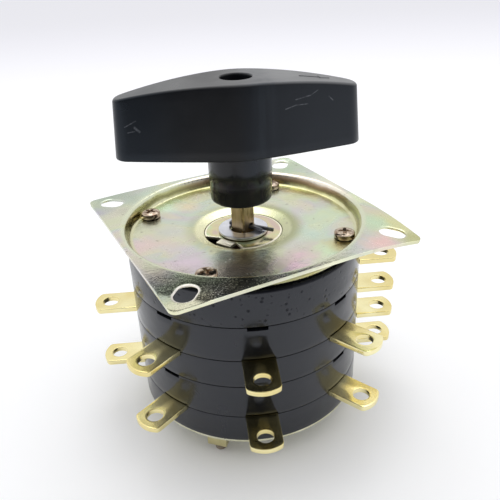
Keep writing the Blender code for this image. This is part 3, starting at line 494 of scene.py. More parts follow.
def plate_zinc():
    """Yellow-passivated sheet: a pale green gold film with soft patches of rose, lilac, green and yellow, whose
    borders a noise bends; a few patches are painted reflection and shade. The hub's slope has a painted cream highlight
    and olive shade, and the dish wall painted bands of reflection in olive and brown gold."""
    f = Finish("yellow_passivated_zinc", (0.66, 0.67, 0.5), 0.2, 1)
    _, y, z = f.axes
    level = f.stretched(1, 1, 0)
    sway = f.vector("MULTIPLY_ADD", f.noise(60, source=level, output="Color"), (20, 20, 0), (-10, -10, 0))
    bent = f.vector("ADD", f.flat, sway)
    colour = f.ramp(
        f.maths("FRACT", f.noise(34, 3, 1.2, source=level) * 3.4),
        (0, (0.68, 0.7, 0.46)),
        (0.25, (0.7, 0.6, 0.52)),
        (0.45, (0.6, 0.56, 0.62)),
        (0.65, (0.54, 0.66, 0.54)),
        (0.85, (0.68, 0.7, 0.44)),
        (1, (0.68, 0.7, 0.46)),
    )
    colour = f.mix(0.45, colour, (0.64, 0.65, 0.54))
    # Each patch is laid over the colour: film tints, and at some places painted reflection and shade
    for *middle, radius, strength, tint in FILM_TINTS_AND_PAINTED_LIGHT:
        away = f.vector("DISTANCE", bent, (*middle, 0))
        colour = f.mix(f.fall(away, 0, radius, strength / 100), colour, [part / 100 for part in tint])
    # The hub's slope gets a painted cream highlight that turns to an olive painted shade towards the right, and a
    # painted shade ring lies at its foot, strongest on the right
    right = f.rise(f.toward(0.9, -0.43), -4, 14)
    colour = f.mix(f.fall(f.radius, 17, 18.6, 0.85), colour, f.mix(right, (0.86, 0.84, 0.54), (0.58, 0.6, 0.34)))
    ring = f.rise(f.radius, 16.6, HUB_FOOT, 0, 0.9) * f.fall(f.radius, HUB_FOOT, 22.8)
    colour = f.mix(ring * f.rise(right, 0, 1, 0.45), colour, (0.4, 0.42, 0.22))
    # The dish wall is painted with these bands of reflection and the shoulder's highlight
    climb = f.rise(z, DISH_FLOOR, FLANGE) + f.rise(f.noise(90, 2), 0.3, 0.7, -0.12, 0.12)
    olive, brown = (f.ramp(climb, *[(band[0], band[side]) for band in WALL_REFLECTION_BANDS]) for side in (1, 2))
    wall_reflections = f.mix(f.rise(f.toward(0.72, 0.7), 18, 34), olive, brown)
    colour = f.mix(f.rise(f.radius, 38.4, 39.6, 0, 0.95) * f.fall(f.radius, 42, 43.6), colour, wall_reflections)
    colour = f.mix(f.rise(f.noise(420, 2), 0.66, 0.74, 0, 0.5), colour, (0.3, 0.28, 0.22))
    # The slots' rims carry a painted highlight, most at the front corner, where a point is near the slot's
    # middle line. All four are measured in one quarter, and the corners curl up a little past them
    quarter = f.vector("ABSOLUTE", f.flat)
    outwards = f.vector("DOT_PRODUCT", quarter, (HALF_ROOT, HALF_ROOT, 0))
    across = f.vector("DOT_PRODUCT", quarter, (HALF_ROOT, -HALF_ROOT, 0))
    curl = f.bump(f.rise(outwards, 53.5, 63), 1, 1.6)
    past = f.largest(abs(outwards - SLOT[0]) - (SLOT[1] - SLOT[2]), 0)
    away = f.vector("LENGTH", f.out(f.add("ShaderNodeCombineXYZ", X=past, Y=across)))
    rim = f.fall(away, SLOT[2] + 0.3, SLOT[2] + 0.9) * f.rise(f.toward(-HALF_ROOT, -HALF_ROOT), 20, 40, 0.15)
    colour = f.mix(rim, colour, (0.98, 0.94, 0.88))
    # The front edge of the flange is paler and duller
    cut = f.fall(y, 0.1 - HALF_PLATE, 0.3 - HALF_PLATE, 0.5)
    colour = f.mix(cut, colour, (0.96, 0.96, 0.72))
    normal = f.bump(f.noise(190, 2), 0.3, 0.3, curl)
    normal = f.bump(f.noise(900, 5, roughness=0.7), 0.55, 0.12, normal)
    matt = f.fall(f.radius, 36, 46, 0.08) + f.largest(rim, cut) * 0.35
    dull = f.rise(f.noise(1500), 0.48, 0.64, 0, 0.12) * f.rise(f.radius, 41, 44)
    rough = f.rise(f.noise(120, 4), 0.3, 0.75, 0.12, 0.22) + matt + dull
    return f.done(colour, rough, normal)


def black_bakelite(pitted=False):
    """Glossy black moulding with a soft orange peel. The pitted one, which is the housing's, has small sunken specks,
    whose reflection is dimmed, and a painted shade along its top edge under the plate's dish."""
    f = Finish("pitted_black_bakelite" if pitted else "black_bakelite", (0.012, 0.012, 0.014), 0.15)
    smear = f.noise(60, 4, 0.6)
    colour = f.ramp(smear, (0.3, (0.008, 0.009, 0.012)), (0.8, (0.014, 0.015, 0.02)))
    rough = f.rise(smear, 0.35, 0.75, 0.15, 0.28)
    normal = f.bump(f.noise(260, 2), 0.3, 0.2, f.bump(f.noise(48, 2), 0.5, 0.8))
    cast = (0.9, 0.93, 1)
    if pitted:
        cells = f.add("ShaderNodeTexVoronoi", Scale=540, Randomness=1, Vector=f.coordinates)
        pits = f.fall(f.out(cells, "Distance"), 0.14, 0.42) * f.rise(f.noise(240, 2), 0.49, 0.57)
        normal = f.bump(f.maths("SUBTRACT", 1, pits), 0.25, 0.3, normal)
        # Painted shade along the top edge under the plate's dish: its reflection is darkened
        edge = f.rise(f.axes[2], HOUSING[1] - 1.2, HOUSING[1] - 0.7)
        cast = f.mix(f.largest(edge, pits * 0.8), cast, (0.1, 0.1, 0.12))
    return f.done(colour, rough, normal, IOR=1.55, Specular_Tint=cast)


def bright_brass():
    """Polished stamped brass with faint rolling lines and small differences of tone."""
    f = Finish("bright_brass", (0.86, 0.76, 0.38), 0.16, 1)
    tone = f.ramp(f.noise(45, 3, 0.5), (0.32, (0.8, 0.66, 0.27)), (0.66, (0.97, 0.9, 0.54)))
    rough = f.rise(f.noise(160, 4), 0.3, 0.75, 0.1, 0.26)
    normal = f.bump(f.noise(700), 0.12, 0.1, f.bump(f.noise(120, 1), 0.25, 0.3))
    return f.done(tone, rough, normal)


# Scratches on the lever's long side: how far along the lever and how high they start and end, and their width
SCRATCHES = (
    ((17.5, 118.2), (22.4, 118.9), 0.28),
    ((22.4, 118.9), (24.9, 120.2), 0.22),
    ((14.1, 115.7), (17.5, 116.5), 0.25),
    ((17.5, 116.5), (21.5, 116.4), 0.22),
    ((28.6, 117.8), (30, 116.4), 0.25),
    ((-36, 112.2), (-32.3, 114.1), 0.25),
    ((-32.9, 112), (-31.6, 110.8), 0.60),
    ((-35.2, 110.4), (-33, 110.9), 0.25),
)


def satin_handle():
    """Black handle plastic, satin. Scratches lie where a point of the long side is nearer to a line than its width:
    the point's distance to the line's nearest point, measured along the lever and upwards."""
    f = Finish("satin_black_plastic", (0.01, 0.012, 0.015), 0.34)
    soft = f.noise(45, 3, 0.5)
    colour = f.ramp(soft, (0.3, (0.006, 0.007, 0.009)), (0.8, (0.01, 0.011, 0.014)))
    lever = f.out(f.add("ShaderNodeMapping", Vector=f.place, Rotation=(0, 0, -HANDLE_TURN)))
    along, across, height = f.split(lever)
    # The crowned top is painted a lighter grey towards the pointer's end, a painted sheen where it faces the light
    below = along * along * (-CROWN / HALF_LEVER**2) + HANDLE_TOP - height
    top_sheen = f.fall(below, 0.2, 0.9) * f.rise(along, -14, 20)
    colour = f.mix(top_sheen, colour, (0.13, 0.13, 0.134))
    # The reflections get a painted bluish cast on the half towards the pointer and a painted darker, bluer one at the
    # other end, and a paler upright streak beside the ridge is a painted highlight
    cast = f.mix(f.rise(along, -3, 4), (0.73, 0.73, 0.74), (0.66, 0.73, 0.84))
    cast = f.mix(f.fall(along, -32, -12), cast, (0.48, 0.57, 0.69))
    drawn_out = f.noise(500, source=f.stretched(1, 1, 0.06))
    ridge_highlight = f.fall(abs(along - 7.5), 1, 5) * f.rise(drawn_out, 0.3, 0.7, 0.1)
    colour = f.mix(ridge_highlight * 0.5, colour, (0.024, 0.03, 0.038))
    side = f.vector("MULTIPLY", lever, (1, 0, 1))
    marks = 0
    for (x0, z0), (x1, z1), width in SCRATCHES:
        line = array([x1 - x0, 0, z1 - z0])
        from_start = f.vector("SUBTRACT", side, (x0, 0, z0))
        share = f.vector("DOT_PRODUCT", from_start, tuple(line / (line @ line)))
        held = f.maths("MINIMUM", f.largest(share, 0), 1)
        away = f.vector("DISTANCE", from_start, f.vector("MULTIPLY", held, tuple(line)))
        marks = f.largest(marks, f.fall(away, width * 0.2, width))
    ragged = f.rise(f.noise(900, 2), 0.35, 0.65, 0.3)
    colour = f.mix(marks * f.fall(across, -4.6, -4) * ragged, colour, (0.11, 0.115, 0.13))
    # The neck is glossier, and its lower part darker
    rough = f.rise(soft, 0.3, 0.75, 0.27, 0.4) - f.fall(height, HANDLE_BASE - 1, HANDLE_BASE) * 0.14
    cast = f.mix(f.fall(height, NECK_FOOT + 6.7, NECK_FOOT + 7.1), cast, (0.45, 0.45, 0.42))
    normal = f.bump(f.noise(1100), 0.18, 0.1)
    return f.done(colour, rough, normal, IOR=1.52, Specular_Tint=cast)


def plated(name, low, high, rough_low, rough_high, scale, stretch=1):
    """Plated steel: two tones mixed by a soft noise, which a stretch under 1 draws out upwards, and a fine grain."""
    f = Finish(name, low, rough_low, 1)
    cloud = f.noise(scale, 4, 0.4, source=f.stretched(1, 1, stretch))
    colour = f.ramp(cloud, (0.3, low), (0.75, high))
    rough = f.rise(cloud, 0.3, 0.75, rough_low, rough_high)
    return f.done(colour, rough, f.bump(f.noise(scale * 8), 0.2, 0.1))


def disc_zinc():
    """The stop disc's gold film, green in places. Its tongue and its cut edges carry a painted highlight."""
    f = Finish("disc_zinc", (0.66, 0.58, 0.4), 0.2, 1)
    cloud = f.noise(130, 3, 0.4)
    colour = f.ramp(cloud, (0.35, (0.66, 0.52, 0.44)), (0.5, (0.7, 0.64, 0.38)), (0.68, (0.56, 0.74, 0.46)))
    x, y, z = f.axes
    c, s = heading(TONGUE)
    # Painted highlights: a bright reflection on the tongue, and on the disc's side faces and outer rim
    tongue = f.rise(f.toward(c, s), 9, 9.6, 0, 0.9) * f.fall(abs(f.toward(-s, c)), 3, 3.4)
    cut = f.largest(f.fall(z, DISC[1] - 0.2, DISC[1] - 0.04), f.rise(f.radius, DISC_RIM - 0.8, DISC_RIM - 0.5))
    # Both straight sides of the notch, which also carry the painted highlight: one leans, the other runs along Y
    leaning = f.fall(f.toward(0.7009, 0.7133), -7, -6.8) * f.fall(x, -9.6, -9.2)
    upright = f.fall(x, -5.9, -5.7) * f.fall(y, -8.8, -8.4)
    cut = f.largest(cut, f.largest(leaning, upright))
    colour = f.mix(f.largest(tongue, cut), colour, (1, 0.95, 0.78))
    rough = f.largest(f.rise(cloud, 0.3, 0.75, 0.16, 0.28), cut * 0.42)
    return f.done(colour, rough, f.bump(f.noise(1100), 0.2, 0.1))


def brown_moulding():
    """Dull brown thermoset with a mottled filler."""
    f = Finish("brown_bakelite", (0.09, 0.035, 0.018), 0.42)
    mottle = f.noise(420, 4)
    colour = f.ramp(mottle, (0.3, (0.065, 0.024, 0.012)), (0.75, (0.12, 0.05, 0.026)))
    return f.done(colour, f.rise(mottle, 0.3, 0.7, 0.36, 0.5), f.bump(mottle, 0.2, 0.2))


ZINC = plate_zinc()
DISC_ZINC = disc_zinc()
PALE_GOLD = plated("pale_gold_zinc", (0.68, 0.67, 0.48), (0.86, 0.85, 0.68), 0.22, 0.36, 160)
BLACK = black_bakelite()
PITTED = black_bakelite(pitted=True)
BRASS = bright_brass()
HANDLE = satin_handle()
BROWN = brown_moulding()
BOLT = plated("brown_gold_zinc", (0.22, 0.14, 0.09), (0.84, 0.72, 0.58), 0.12, 0.26, 620)
SHAFT = plated("shaft_zinc", (0.36, 0.26, 0.13), (0.70, 0.56, 0.36), 0.22, 0.40, 420, stretch=0.12)
WHITE_ZINC = plated("white_zinc", (0.62, 0.63, 0.68), (0.76, 0.77, 0.82), 0.28, 0.40, 380)
DARK = plated("dark_steel", (0.05, 0.05, 0.055), (0.13, 0.13, 0.14), 0.28, 0.42, 500)
PIN_STEEL = plated("grey_steel", (0.09, 0.09, 0.10), (0.26, 0.27, 0.30), 0.30, 0.44, 500)
NUT_GOLD = plated("nut_gold_zinc", (0.52, 0.46, 0.24), (0.76, 0.70, 0.40), 0.24, 0.38, 160)
SPRING = plated("spring_steel", (0.42, 0.42, 0.44), (0.56, 0.56, 0.58), 0.24, 0.36, 300)


# Mounting plate


def plate_reach(angles):
    """Distance to the edge of a square with rounded corners: to the straight side, or to the corner's arc."""
    half, corner = HALF_PLATE, 2.6
    fold = np.abs((angles + pi / 4) % (pi / 2) - pi / 4)
    straight = half / cos(fold)
    centre = (half - corner) * sqrt(2)
    off = pi / 4 - fold
    inside = np.maximum(corner**2 - (centre * sin(off)) ** 2, 0)
    rounded = centre * cos(off) + sqrt(inside)
    return np.where(straight * sin(fold) <= half - corner, straight, rounded)


def flange_drop(flat):
    """The flange is level near the dish and falls with the 1.5th power of the distance beyond it. Each corner's own
    drop fades with the cosine squared of the angle off it, times the cosine of twice that angle."""
    radius, angles = norm(flat, axis=-1), arctan2(flat[..., 1], flat[..., 0])
    depth = 0
    for corner, drop in zip(DIAGONALS, (0.3, 0.5, 0.25, 2.2)):
        off = angles - corner
        depth = depth + drop * clip(cos(off), 0, None) ** 2 * clip(cos(2 * off), 0, None)
    return depth * clip((radius - 44.9) / 16.2, 0, None) ** 1.5


def slot_edge(points, centre_radius, half_length, half_width, angle):
    """The nearest edge point of a slot that lies along a radius: out from its middle line by half its width."""
    local = turned(points, -angle) - (centre_radius, 0)
    reach = half_length - half_width
    line = stack([clip(local[:, 0], -reach, reach), local[:, 1] * 0], -1)
    out = local - line
    out /= norm(out, axis=1, keepdims=True)
    return turned(line + out * half_width + (centre_radius, 0), angle)


def pierced(flat, rows, columns, edge_of, shares):
    """The block of a grid between two rows and two columns, filled by lines from its border to a hole's edge."""
    (r0, r1), (c0, c1) = rows, columns
    across = arange(c0, c1 + 1)
    border = joined(flat[r0, across[:-1]], flat[r0:r1, c1], flat[r1, across[:0:-1]], flat[r1:r0:-1, c0])
    edge = edge_of(border)
    return edge + (border - edge) * shares[:, None, None]


def plate_top():
    """Upper face of the pressed plate. Rows follow the section of hub, floor, dish wall and shoulder round the axis,
    and beyond the shoulder they share out the way to the square edge. The hub's slope meets the floor in a hyperbola.
    Slots and bolt holes replace blocks of the grid, and the slots' rims sink exponentially within 0.45 mm."""
    columns = 480
    angles = around(columns)
    hub = linspace(14.08, 19.4, 12)
    ramp = (HUB_FOOT - hub) / 3.7
    soft = (ramp + sqrt(ramp**2 + 0.012)) / 2
    floor = arange(20.4, 38.9, 1.2)
    section = joined(
        stack([hub, DISH_FLOOR - 1.43 * soft / soft[0]], -1),
        stack([floor, floor * 0 + DISH_FLOOR], -1),
        arc((39.15, DISH_FLOOR + 1.25), 1.25, -90, -8, 6),
        arc((42.45, FLANGE - 1.35), 1.35, 172, 90, 7),
        [[43, FLANGE]],
    )
    inside = revolved(section, angles)
    share = linspace(0, 1, 23)[1:, None]
    flat = (43 + (plate_reach(angles)[None] - 43) * share)[..., None] * circle(1, angles)
    points = joined(inside, raised(flat, FLANGE - flange_drop(flat)))
    keep = np.ones((len(points) - 1, columns), bool)
    shares = array([0, 0.03, 0.08, 0.15, 0.25, 0.4, 0.6, 0.8, 1])

    def opened(rows, column, reach, hole, angle):
        span = (column - reach, column + reach)
        keep[rows[0] : rows[1], span[0] : span[1]] = False
        return pierced(points[..., :2], rows, span, lambda border: slot_edge(border, *hole, angle), shares)

    shapes = []
    slot_rows = (len(inside) + 1, len(inside) + 19)
    hole_rows = [int(np.argmin(abs(section[:, 0] - radius))) for radius in (33, 39.1)]
    for angle in DIAGONALS:
        column = int(round(angle / (2 * pi) * columns))
        flat = opened(slot_rows, column, 8, SLOT, angle)
        away = norm(flat - flat[:1], axis=-1)
        height = FLANGE - flange_drop(flat) - 0.3 * np.exp(-away / 0.45) * (1 - shares[:, None]) ** 2
        shapes.append(grid(raised(flat, height)))
        shapes.append(grid(raised(opened(hole_rows, column, 7, BOLT_HOLE, angle), DISH_FLOOR)))
    return [grid(points, keep=keep)] + shapes


def mounting_plate():
    plate = piece("mounting_plate", "sheet", plate_top(), ZINC)
    if plate.data.polygons[0].normal.z < 0:
        plate.data.flip_normals()
    modified(plate, "SOLIDIFY", thickness=1.1 * MM, offset=-1, use_even_offset=True)
    modified(plate, "BEVEL", width=0.18 * MM, segments=2, limit_method="ANGLE", angle_limit=radians(50))
    settled(plate)


# Mouldings


def moulding_rows(low, high, depth, reach, through, edge=0.16):
    """Outer part of a moulding's section, from the bottom rim to the inner end of its slots: plain rows and as many
    slotted ones, so that the quads between them are a slot's side walls."""
    below = joined([[BODY - 3, low]], arc((BODY - edge, low + edge), edge, -90, 0, 4))
    wall = stack([np.full(4, BODY), linspace(low + edge, high - depth - 0.5, 6)[1:-1]], -1)
    inner = BODY - reach
    plain = [(BODY, high - depth - 0.15), (BODY, high - edge)]
    plain += [*arc((BODY - edge, high - edge), edge, 0, 90, 4)[1:]]
    plain += [(BODY - reach * 0.5, high), (inner, high), (inner, high)]
    floor = high - depth
    slotted = [(BODY, floor - 0.15), (BODY - 0.04, floor - 0.04), (BODY - 0.15, floor)]
    slotted += [(BODY - reach * share, floor) for share in (0.3, 0.6, 0.8, 1)]
    slotted += [(inner, floor if through else high)]
    common = joined(below, wall)
    return joined(common, plain), joined(common, slotted)


def moulding(low, high, inside, slots, places, relief=None):
    """A round moulding with slots in its upper face: the section runs round from the inside, under the bottom, up the
    wall and over the top. slots gives (width, depth, reach, through) for each place. Lines of the grid bend with the
    arcsine of width over radius, so that a slot's walls are parallel. relief is the width and the height by which the
    bottom is raised at each place."""
    columns = []
    following = np.append(places[1:], places[0] + 2 * pi)
    for number, (width, *shape) in enumerate(slots):
        lip, cut = (joined(rows, inside) for rows in moulding_rows(low, high, *shape))
        lip_after = joined(moulding_rows(low, high, *slots[(number + 1) % len(slots)][1:])[0], inside)
        edge = width / 2
        hold = np.maximum(cut[:, 0], CAVITY)
        stations = [(share * edge, cut) for share in linspace(-1, 1, 7)]
        lift = 0
        if relief:
            flank = linspace(relief[0] / 2, edge, 4)
            stations = [(-off, lip) for off in flank] + stations + [(off, lip) for off in flank[::-1]]
            lift = relief[1] * (cut[:, 1] < low + 0.4)
            edge = relief[0] / 2
        for off, section in stations:
            columns.append((places[number] + arcsin(off / hold), section[:, 0], section[:, 1] + lift))
        start = places[number] + arcsin(edge / hold)
        end = following[number] - arcsin(edge / hold)
        for share in linspace(0, 1, 20):
            columns.append((start + (end - start) * share, *(lip + (lip_after - lip) * share).T))
    angles, radii, heights = array(columns).transpose(1, 2, 0)
    return grid(raised(circle(radii, angles), heights), close_rows=True)


def wafers():
    key, wide_key, tab = (6.7, 1.2, 4, False), (6.7, 2.1, 13, False), (11.2, 1.5, 13.85, True)
    for pole in (0, 1):
        places = POSITIONS + radians(LEANS[pole])
        low, high = UPPER_WAFERS[pole] - SEAM
        deck = [(BORE, high), (BORE, high - 3.2), (CAVITY, high - 3.2), (CAVITY, low)]
        upper = moulding(low, high, deck, [key] * 7 + [wide_key], places, (11.2, 0.6 + SEAM[0]))
        piece(f"upper_wafer_{pole + 1}", "shell", [upper], BLACK)
        low, high = LOWER_WAFERS[pole] - SEAM
        floor = [(CAVITY, low + 3), (BORE, low + 3), (BORE, low), (CAVITY, low)]
        lower = moulding(low, high, floor, [tab] * 8, places)
        piece(f"lower_wafer_{pole + 1}", "shell", [lower], BLACK)


def detent_housing():
    low, high = HOUSING - SEAM
    section = joined(
        [(31, low), (BODY - 3, low)],
        arc((BODY - 0.16, low + 0.16), 0.16, -90, 0, 4),
        [(BODY, low + 4), (BODY, low + 8)],
        arc((BODY - 0.7, high - 0.7), 0.7, 0, 90, 6),
        [(36, high), (30, high), (24, high), (19.15, high), (19.15, HUB_SEAT), (12.9, HUB_SEAT)],
        [(12.9, CHAMBER_TOP), (31, CHAMBER_TOP)],
    )
    shape = grid(revolved(section, around(240)), close_rows=True)
    piece("detent_housing", "shell", [shape], PITTED)


# Tabs


def tab_tip():
    """Side to side over the rounded end of a tab. The arc of the end is wider than the tab, and a small arc that
    touches it inside leads into each side."""
    half, reach, radius, corner = 5.5, 56.65, 8.8, 1.6
    turn = arcsin((half - corner) / (radius - corner))
    centre = reach - radius + (radius - corner) * cos(turn)
    end = circle(radius, linspace(-turn, turn, 11)[1:-1], (reach - radius, 0))
    first = circle(corner, linspace(-pi / 2, -turn, 6), (centre, corner - half))
    return joined(first, end, first[::-1] * (1, -1))


def tab_shape(outline, low, high):
    """A ring between the tab's hole and its outline: each outline point faces the hole's point at its own angle."""
    loop = with_corners(outline, 0.7)
    out = loop - (50.92, 0)
    hole = circle(2.85, arctan2(out[:, 1], out[:, 0]), (50.92, 0))
    return band(hole, loop, low, high, 0.14)


def tabs():
    inner = array([(27.2, 5.5), (17, 3), (17, -3), (27.2, -5.5)])
    neck = array([(41.65, 5.5), (41.65, 3.05), (24, 3.05), (24, -3.05), (41.65, -3.05), (41.65, -5.5)])
    angles = around(96)
    for pole in (0, 1):
        shape = tab_shape(joined(tab_tip(), inner), *TERMINALS[pole])
        for number, angle in enumerate(POSITIONS + radians(LEANS[pole]), 1):
            piece(f"terminal_{pole + 1}_{number}", "strip", [spun(shape, angle)], BRASS)
        span = (UPPER_WAFERS[pole][1] - 1.8, UPPER_WAFERS[pole][1])
        outer = tab_shape(joined(tab_tip(), neck), *span)
        ring = band(circle(BORE, angles), circle(12.6, angles), *span, 0.12)
        link = post(with_corners(bar(12, 25, 3), 1), *span, 0.1)
        shapes = [spun(part, COMMON_TURN) for part in (outer, ring, link)]
        piece(f"common_terminal_{pole + 1}", "strip", shapes, BRASS)


# Bolts, rear plate, and what sits round the shaft

BOLTS = [(*(BOLT_CIRCLE * heading(angle)), 0) for angle in DIAGONALS]


def clamp_bolt(turn):
    """A pan head whose dome falls with the 2.4th power of the radius. A cross recess with soft walls sinks where either
    of two bars crosses it. Below the head come the shank and its chamfered end."""
    angles = around(128)
    seat, top, head = DISH_FLOOR + 0.3, DISH_FLOOR + 2.6, 3.55
    dome = joined(linspace(0, 2.6, 27), linspace(2.6, head - 0.5, 5)[1:])
    section = [stack([dome, top - 0.55 * (dome / head) ** 2.4], -1)]
    section.append(arc((head - 0.5, top - 0.45 - 0.5), 0.5, 80, 0, 5))
    section.append([(head, seat + 0.1), (head - 0.1, seat), (2, seat), (2, 0.4), (1.6, 0), (0, 0)])
    points = revolved(np.concatenate(section), angles)
    x, y = turned(points[: len(dome), :, :2], turn).transpose(2, 0, 1)
    sink = 0
    for along, across in ((x, y), (y, x)):
        side = clip((0.62 - abs(across)) / 0.22, 0, 1)
        ends = clip((2.15 - abs(along)) / 0.5, 0, 1)
        sink = np.maximum(sink, side * side * (3 - 2 * side) * ends)
    points[: len(dome), :, 2] -= 1.3 * sink
    return grid(points)


def bolts():
    for number, (place, turn) in enumerate(zip(BOLTS, (0.35, 0.95, 0.1, 0.6)), 1):
        piece(f"clamp_bolt_{number}", "screw", [moved(clamp_bolt(turn), place)], BOLT, sharp=45)


def rear_plate():
    angles = around(256)
    disc = band(circle(3.2, angles), circle(41.1, angles), *REAR_PLATE, 0.22, 8)
    piece("rear_plate", "sheet", [disc], PALE_GOLD)


def clamp_nuts():
    """Square nuts: a ring between the bore and a square whose points lie on the bore's rays, with broken edges."""
    square = with_corners(array([(3.5, 3.5), (-3.5, 3.5), (-3.5, -3.5), (3.5, -3.5)]), 0.5)
    bore = circle(2.3, arctan2(square[:, 1], square[:, 0]))
    for number, (place, angle) in enumerate(zip(BOLTS, DIAGONALS), 1):
        nut = moved(spun(band(bore, square, *NUTS, 0.25), angle), place)
        piece(f"clamp_nut_{number}", "block", [nut], NUT_GOLD)


def stop_disc():
    """A flat ring from the shaft's hole to an outline with a notch and the tongue in it, whose points face the hole
    where the tongue's straight sides would meet it. A small post is the tongue's bent end."""
    along = heading(TONGUE)
    side = array([-along[1], along[0]])
    rim = radians(linspace(242.6 - 360, 167.5, 120))
    start, end = DISC_RIM * heading(rim[-1]), DISC_RIM * heading(rim[0])
    tip_start, tip_end = along * 12.4 - side * 3, along * 12.4 + side * 3
    root_start = crossing(start, radians(-44.5), tip_start, TONGUE)
    root_end = crossing(end, radians(90), tip_end, TONGUE)
    notch = array([start, root_start, tip_start, tip_end, root_end, end])
    share = linspace(0, 1, 8)[1:-1, None]
    line = [circle(DISC_RIM, rim[:-1])]
    for a, b in zip(notch[:-1], notch[1:]):
        line += [a[None], a + (b - a) * share]
    loop = np.concatenate(line)
    # The side lines of the tongue meet the hole at this angle from its middle
    meet = arcsin(3 / DISC_HOLE)
    keys = [0, 119, 126, 133, 140, 147, 154]
    facing = [TONGUE + off for off in (-meet - 0.02, -meet, meet, meet + 0.02)]
    facing = np.interp(arange(len(loop)), keys, [rim[0], rim[-1], *facing, rim[0] + 2 * pi])
    inner = circle(DISC_HOLE, facing)
    bent = spun(post(with_corners(bar(11.3, 12.4, 3), 0.5), HUB_SEAT - 2, DISC[0] + 0.9, 0.15), TONGUE)
    piece("stop_disc", "sheet", [band(inner, loop, *DISC, 0.28), bent], DISC_ZINC)


def crossing(p, p_angle, q, q_angle):
    """Where the line through p and the line through q meet."""
    d, e = heading(p_angle), heading(q_angle)
    t = ((q[0] - p[0]) * e[1] - (q[1] - p[1]) * e[0]) / (d[0] * e[1] - d[1] * e[0])
    return p + t * d


def shaft_washer():
    angles = around(128)
    shape = band(circle(4.7, angles), circle(8.8, angles), *WASHER, 0.2)
    piece("shaft_washer", "ring", [shape], WHITE_ZINC, TURNING)


def split_pin():
    """A flat pin through the shaft: one strip that ends in a long tapered leg and a short splayed one."""
    long_leg = array([(-5.2, 0.75), (-5.2, -0.1), (4.2, -0.1), (11.8, 0.15), (11.8, 0.75)])
    short_leg = array([(-5.2, 0.1), (-5.2, -0.75), (4.5, -0.75), (8.2, -1.5), (8.2, -0.9), (5.6, -0.2)])
    shapes = [spun(post(with_corners(leg, 0.5), *PIN, 0.16), radians(-55)) for leg in (long_leg, short_leg)]
    piece("split_pin", "legs", shapes, PIN_STEEL, TURNING)


# Lever handle


def crown(x):
    """Height of the lever's top, which falls with the square of the distance along it."""
    return HANDLE_TOP - CROWN * (x / HALF_LEVER) ** 2


def lever_outline(margin, count=300):
    """The lever's foot from above, drawn in by a margin: half its width falls from the middle with the 1.15th power
    of a hyperbolic distance, and quarter arcs turn the corners of its ends."""
    half_length, half_width = HALF_LEVER - margin, 13.7 - margin
    corner = max(5.3 - margin, 0.3)
    flat = 5.7 - margin - corner
    turn = radians(linspace(0, -75, 9))
    tip = circle(corner, turn, (half_length - corner, -flat))
    start, end_half = tip[-1]
    x = linspace(start, -start, 121)[1:-1]
    share = (hypot(x, 3) - 3) / (hypot(start, 3) - 3)
    flank = stack([x, (half_width + end_half) * share**1.15 - half_width], -1)
    front = joined(tip, flank, tip[::-1] * (-1, 1))
    return resampled(joined(front, front[::-1] * (1, -1)), count)


def lever_surface():
    """The whole handle as one grid that closes both ways: up the screw well, over the crowned top, down the sides,
    which stand out towards the foot, in under the lever, down the neck and up the square socket. Each row is a loop,
    and loops of different shape face each other along rays from the axis."""
    rim, foot = lever_outline(DRAFT), lever_outline(0)
    ray = arctan2(rim[:, 1], rim[:, 0])
    t = radians(linspace(0, 90, 6))
    steps = [*zip(1 - sin(t), 1 - cos(t))]
    low, high = HANDLE_WEB
    well = [(1.8, low), (1.8, high), (4.9, high), (5.2, high + 0.3)]
    well += [(5.2, HANDLE_TOP - depth) for depth in (12.7, 6.7, 0.6)]
    well += [(5.2 + 0.45 * far, HANDLE_TOP - 0.5 * near) for near, far in steps[1:]]
    rows = [raised(circle(radius, ray), z) for radius, z in well]
    inner, outer = circle(5.65, ray), lever_outline(DRAFT + 0.9)
    for share in linspace(0, 1, 18)[1:]:
        loop = inner + (outer - inner) * share
        rows.append(raised(loop, crown(loop[:, 0])))
    for near, far in steps[1:]:
        loop = lever_outline(DRAFT + 0.9 * near)
        rows.append(raised(loop, crown(loop[:, 0]) - 0.9 * far))
    side_top = crown(rim[:, 0]) - 0.9
    for share in linspace(0, 1, 8)[1:]:
        rows.append(raised(rim + (foot - rim) * share, side_top + (HANDLE_BASE + 0.5 - side_top) * share))
    for near, far in steps[2::2]:
        rows.append(raised(lever_outline(0.5 * far), HANDLE_BASE + 0.5 * near))
    outer, inner = lever_outline(0.5), circle(11.15, ray)
    for share in linspace(0, 1, 10):
        rows.append(raised(outer + (inner - outer) * share, HANDLE_BASE))
    neck = [(10.85, 12.6), (10.85, 7), (10.74, 6.8), (10.7, 4.6), (10.66, 1.2), *arc((9.65, 1), 1, 0, -90, 6)]
    neck = [(radius, NECK_FOOT + z) for radius, z in neck]
    root = [(10.85 + 0.3 * near, HANDLE_BASE - 0.3 * far) for near, far in steps[2::2]]
    rows += [raised(circle(radius, ray), z) for radius, z in root + neck]
    facing_side = ray + HANDLE_TURN - SQUARE_TURN
    square = 1 / np.maximum(abs(cos(facing_side)), abs(sin(facing_side)))
    for half, z in ((3.6, NECK_FOOT), (3.3, NECK_FOOT + 0.3), (3.3, NECK_FOOT + 10.6), (3.3, low)):
        rows.append(raised(circle(1, ray) * (square * half)[:, None], z))
    return grid(stack(rows), close_rows=True)


def under_crown(points, quads):
    """Lets the upper half of a prism follow the crown."""
    roof = points[:, 2] > HANDLE_BASE + 9
    points[roof, 2] += crown(points[roof, 0]) - HANDLE_TOP
    return points, quads


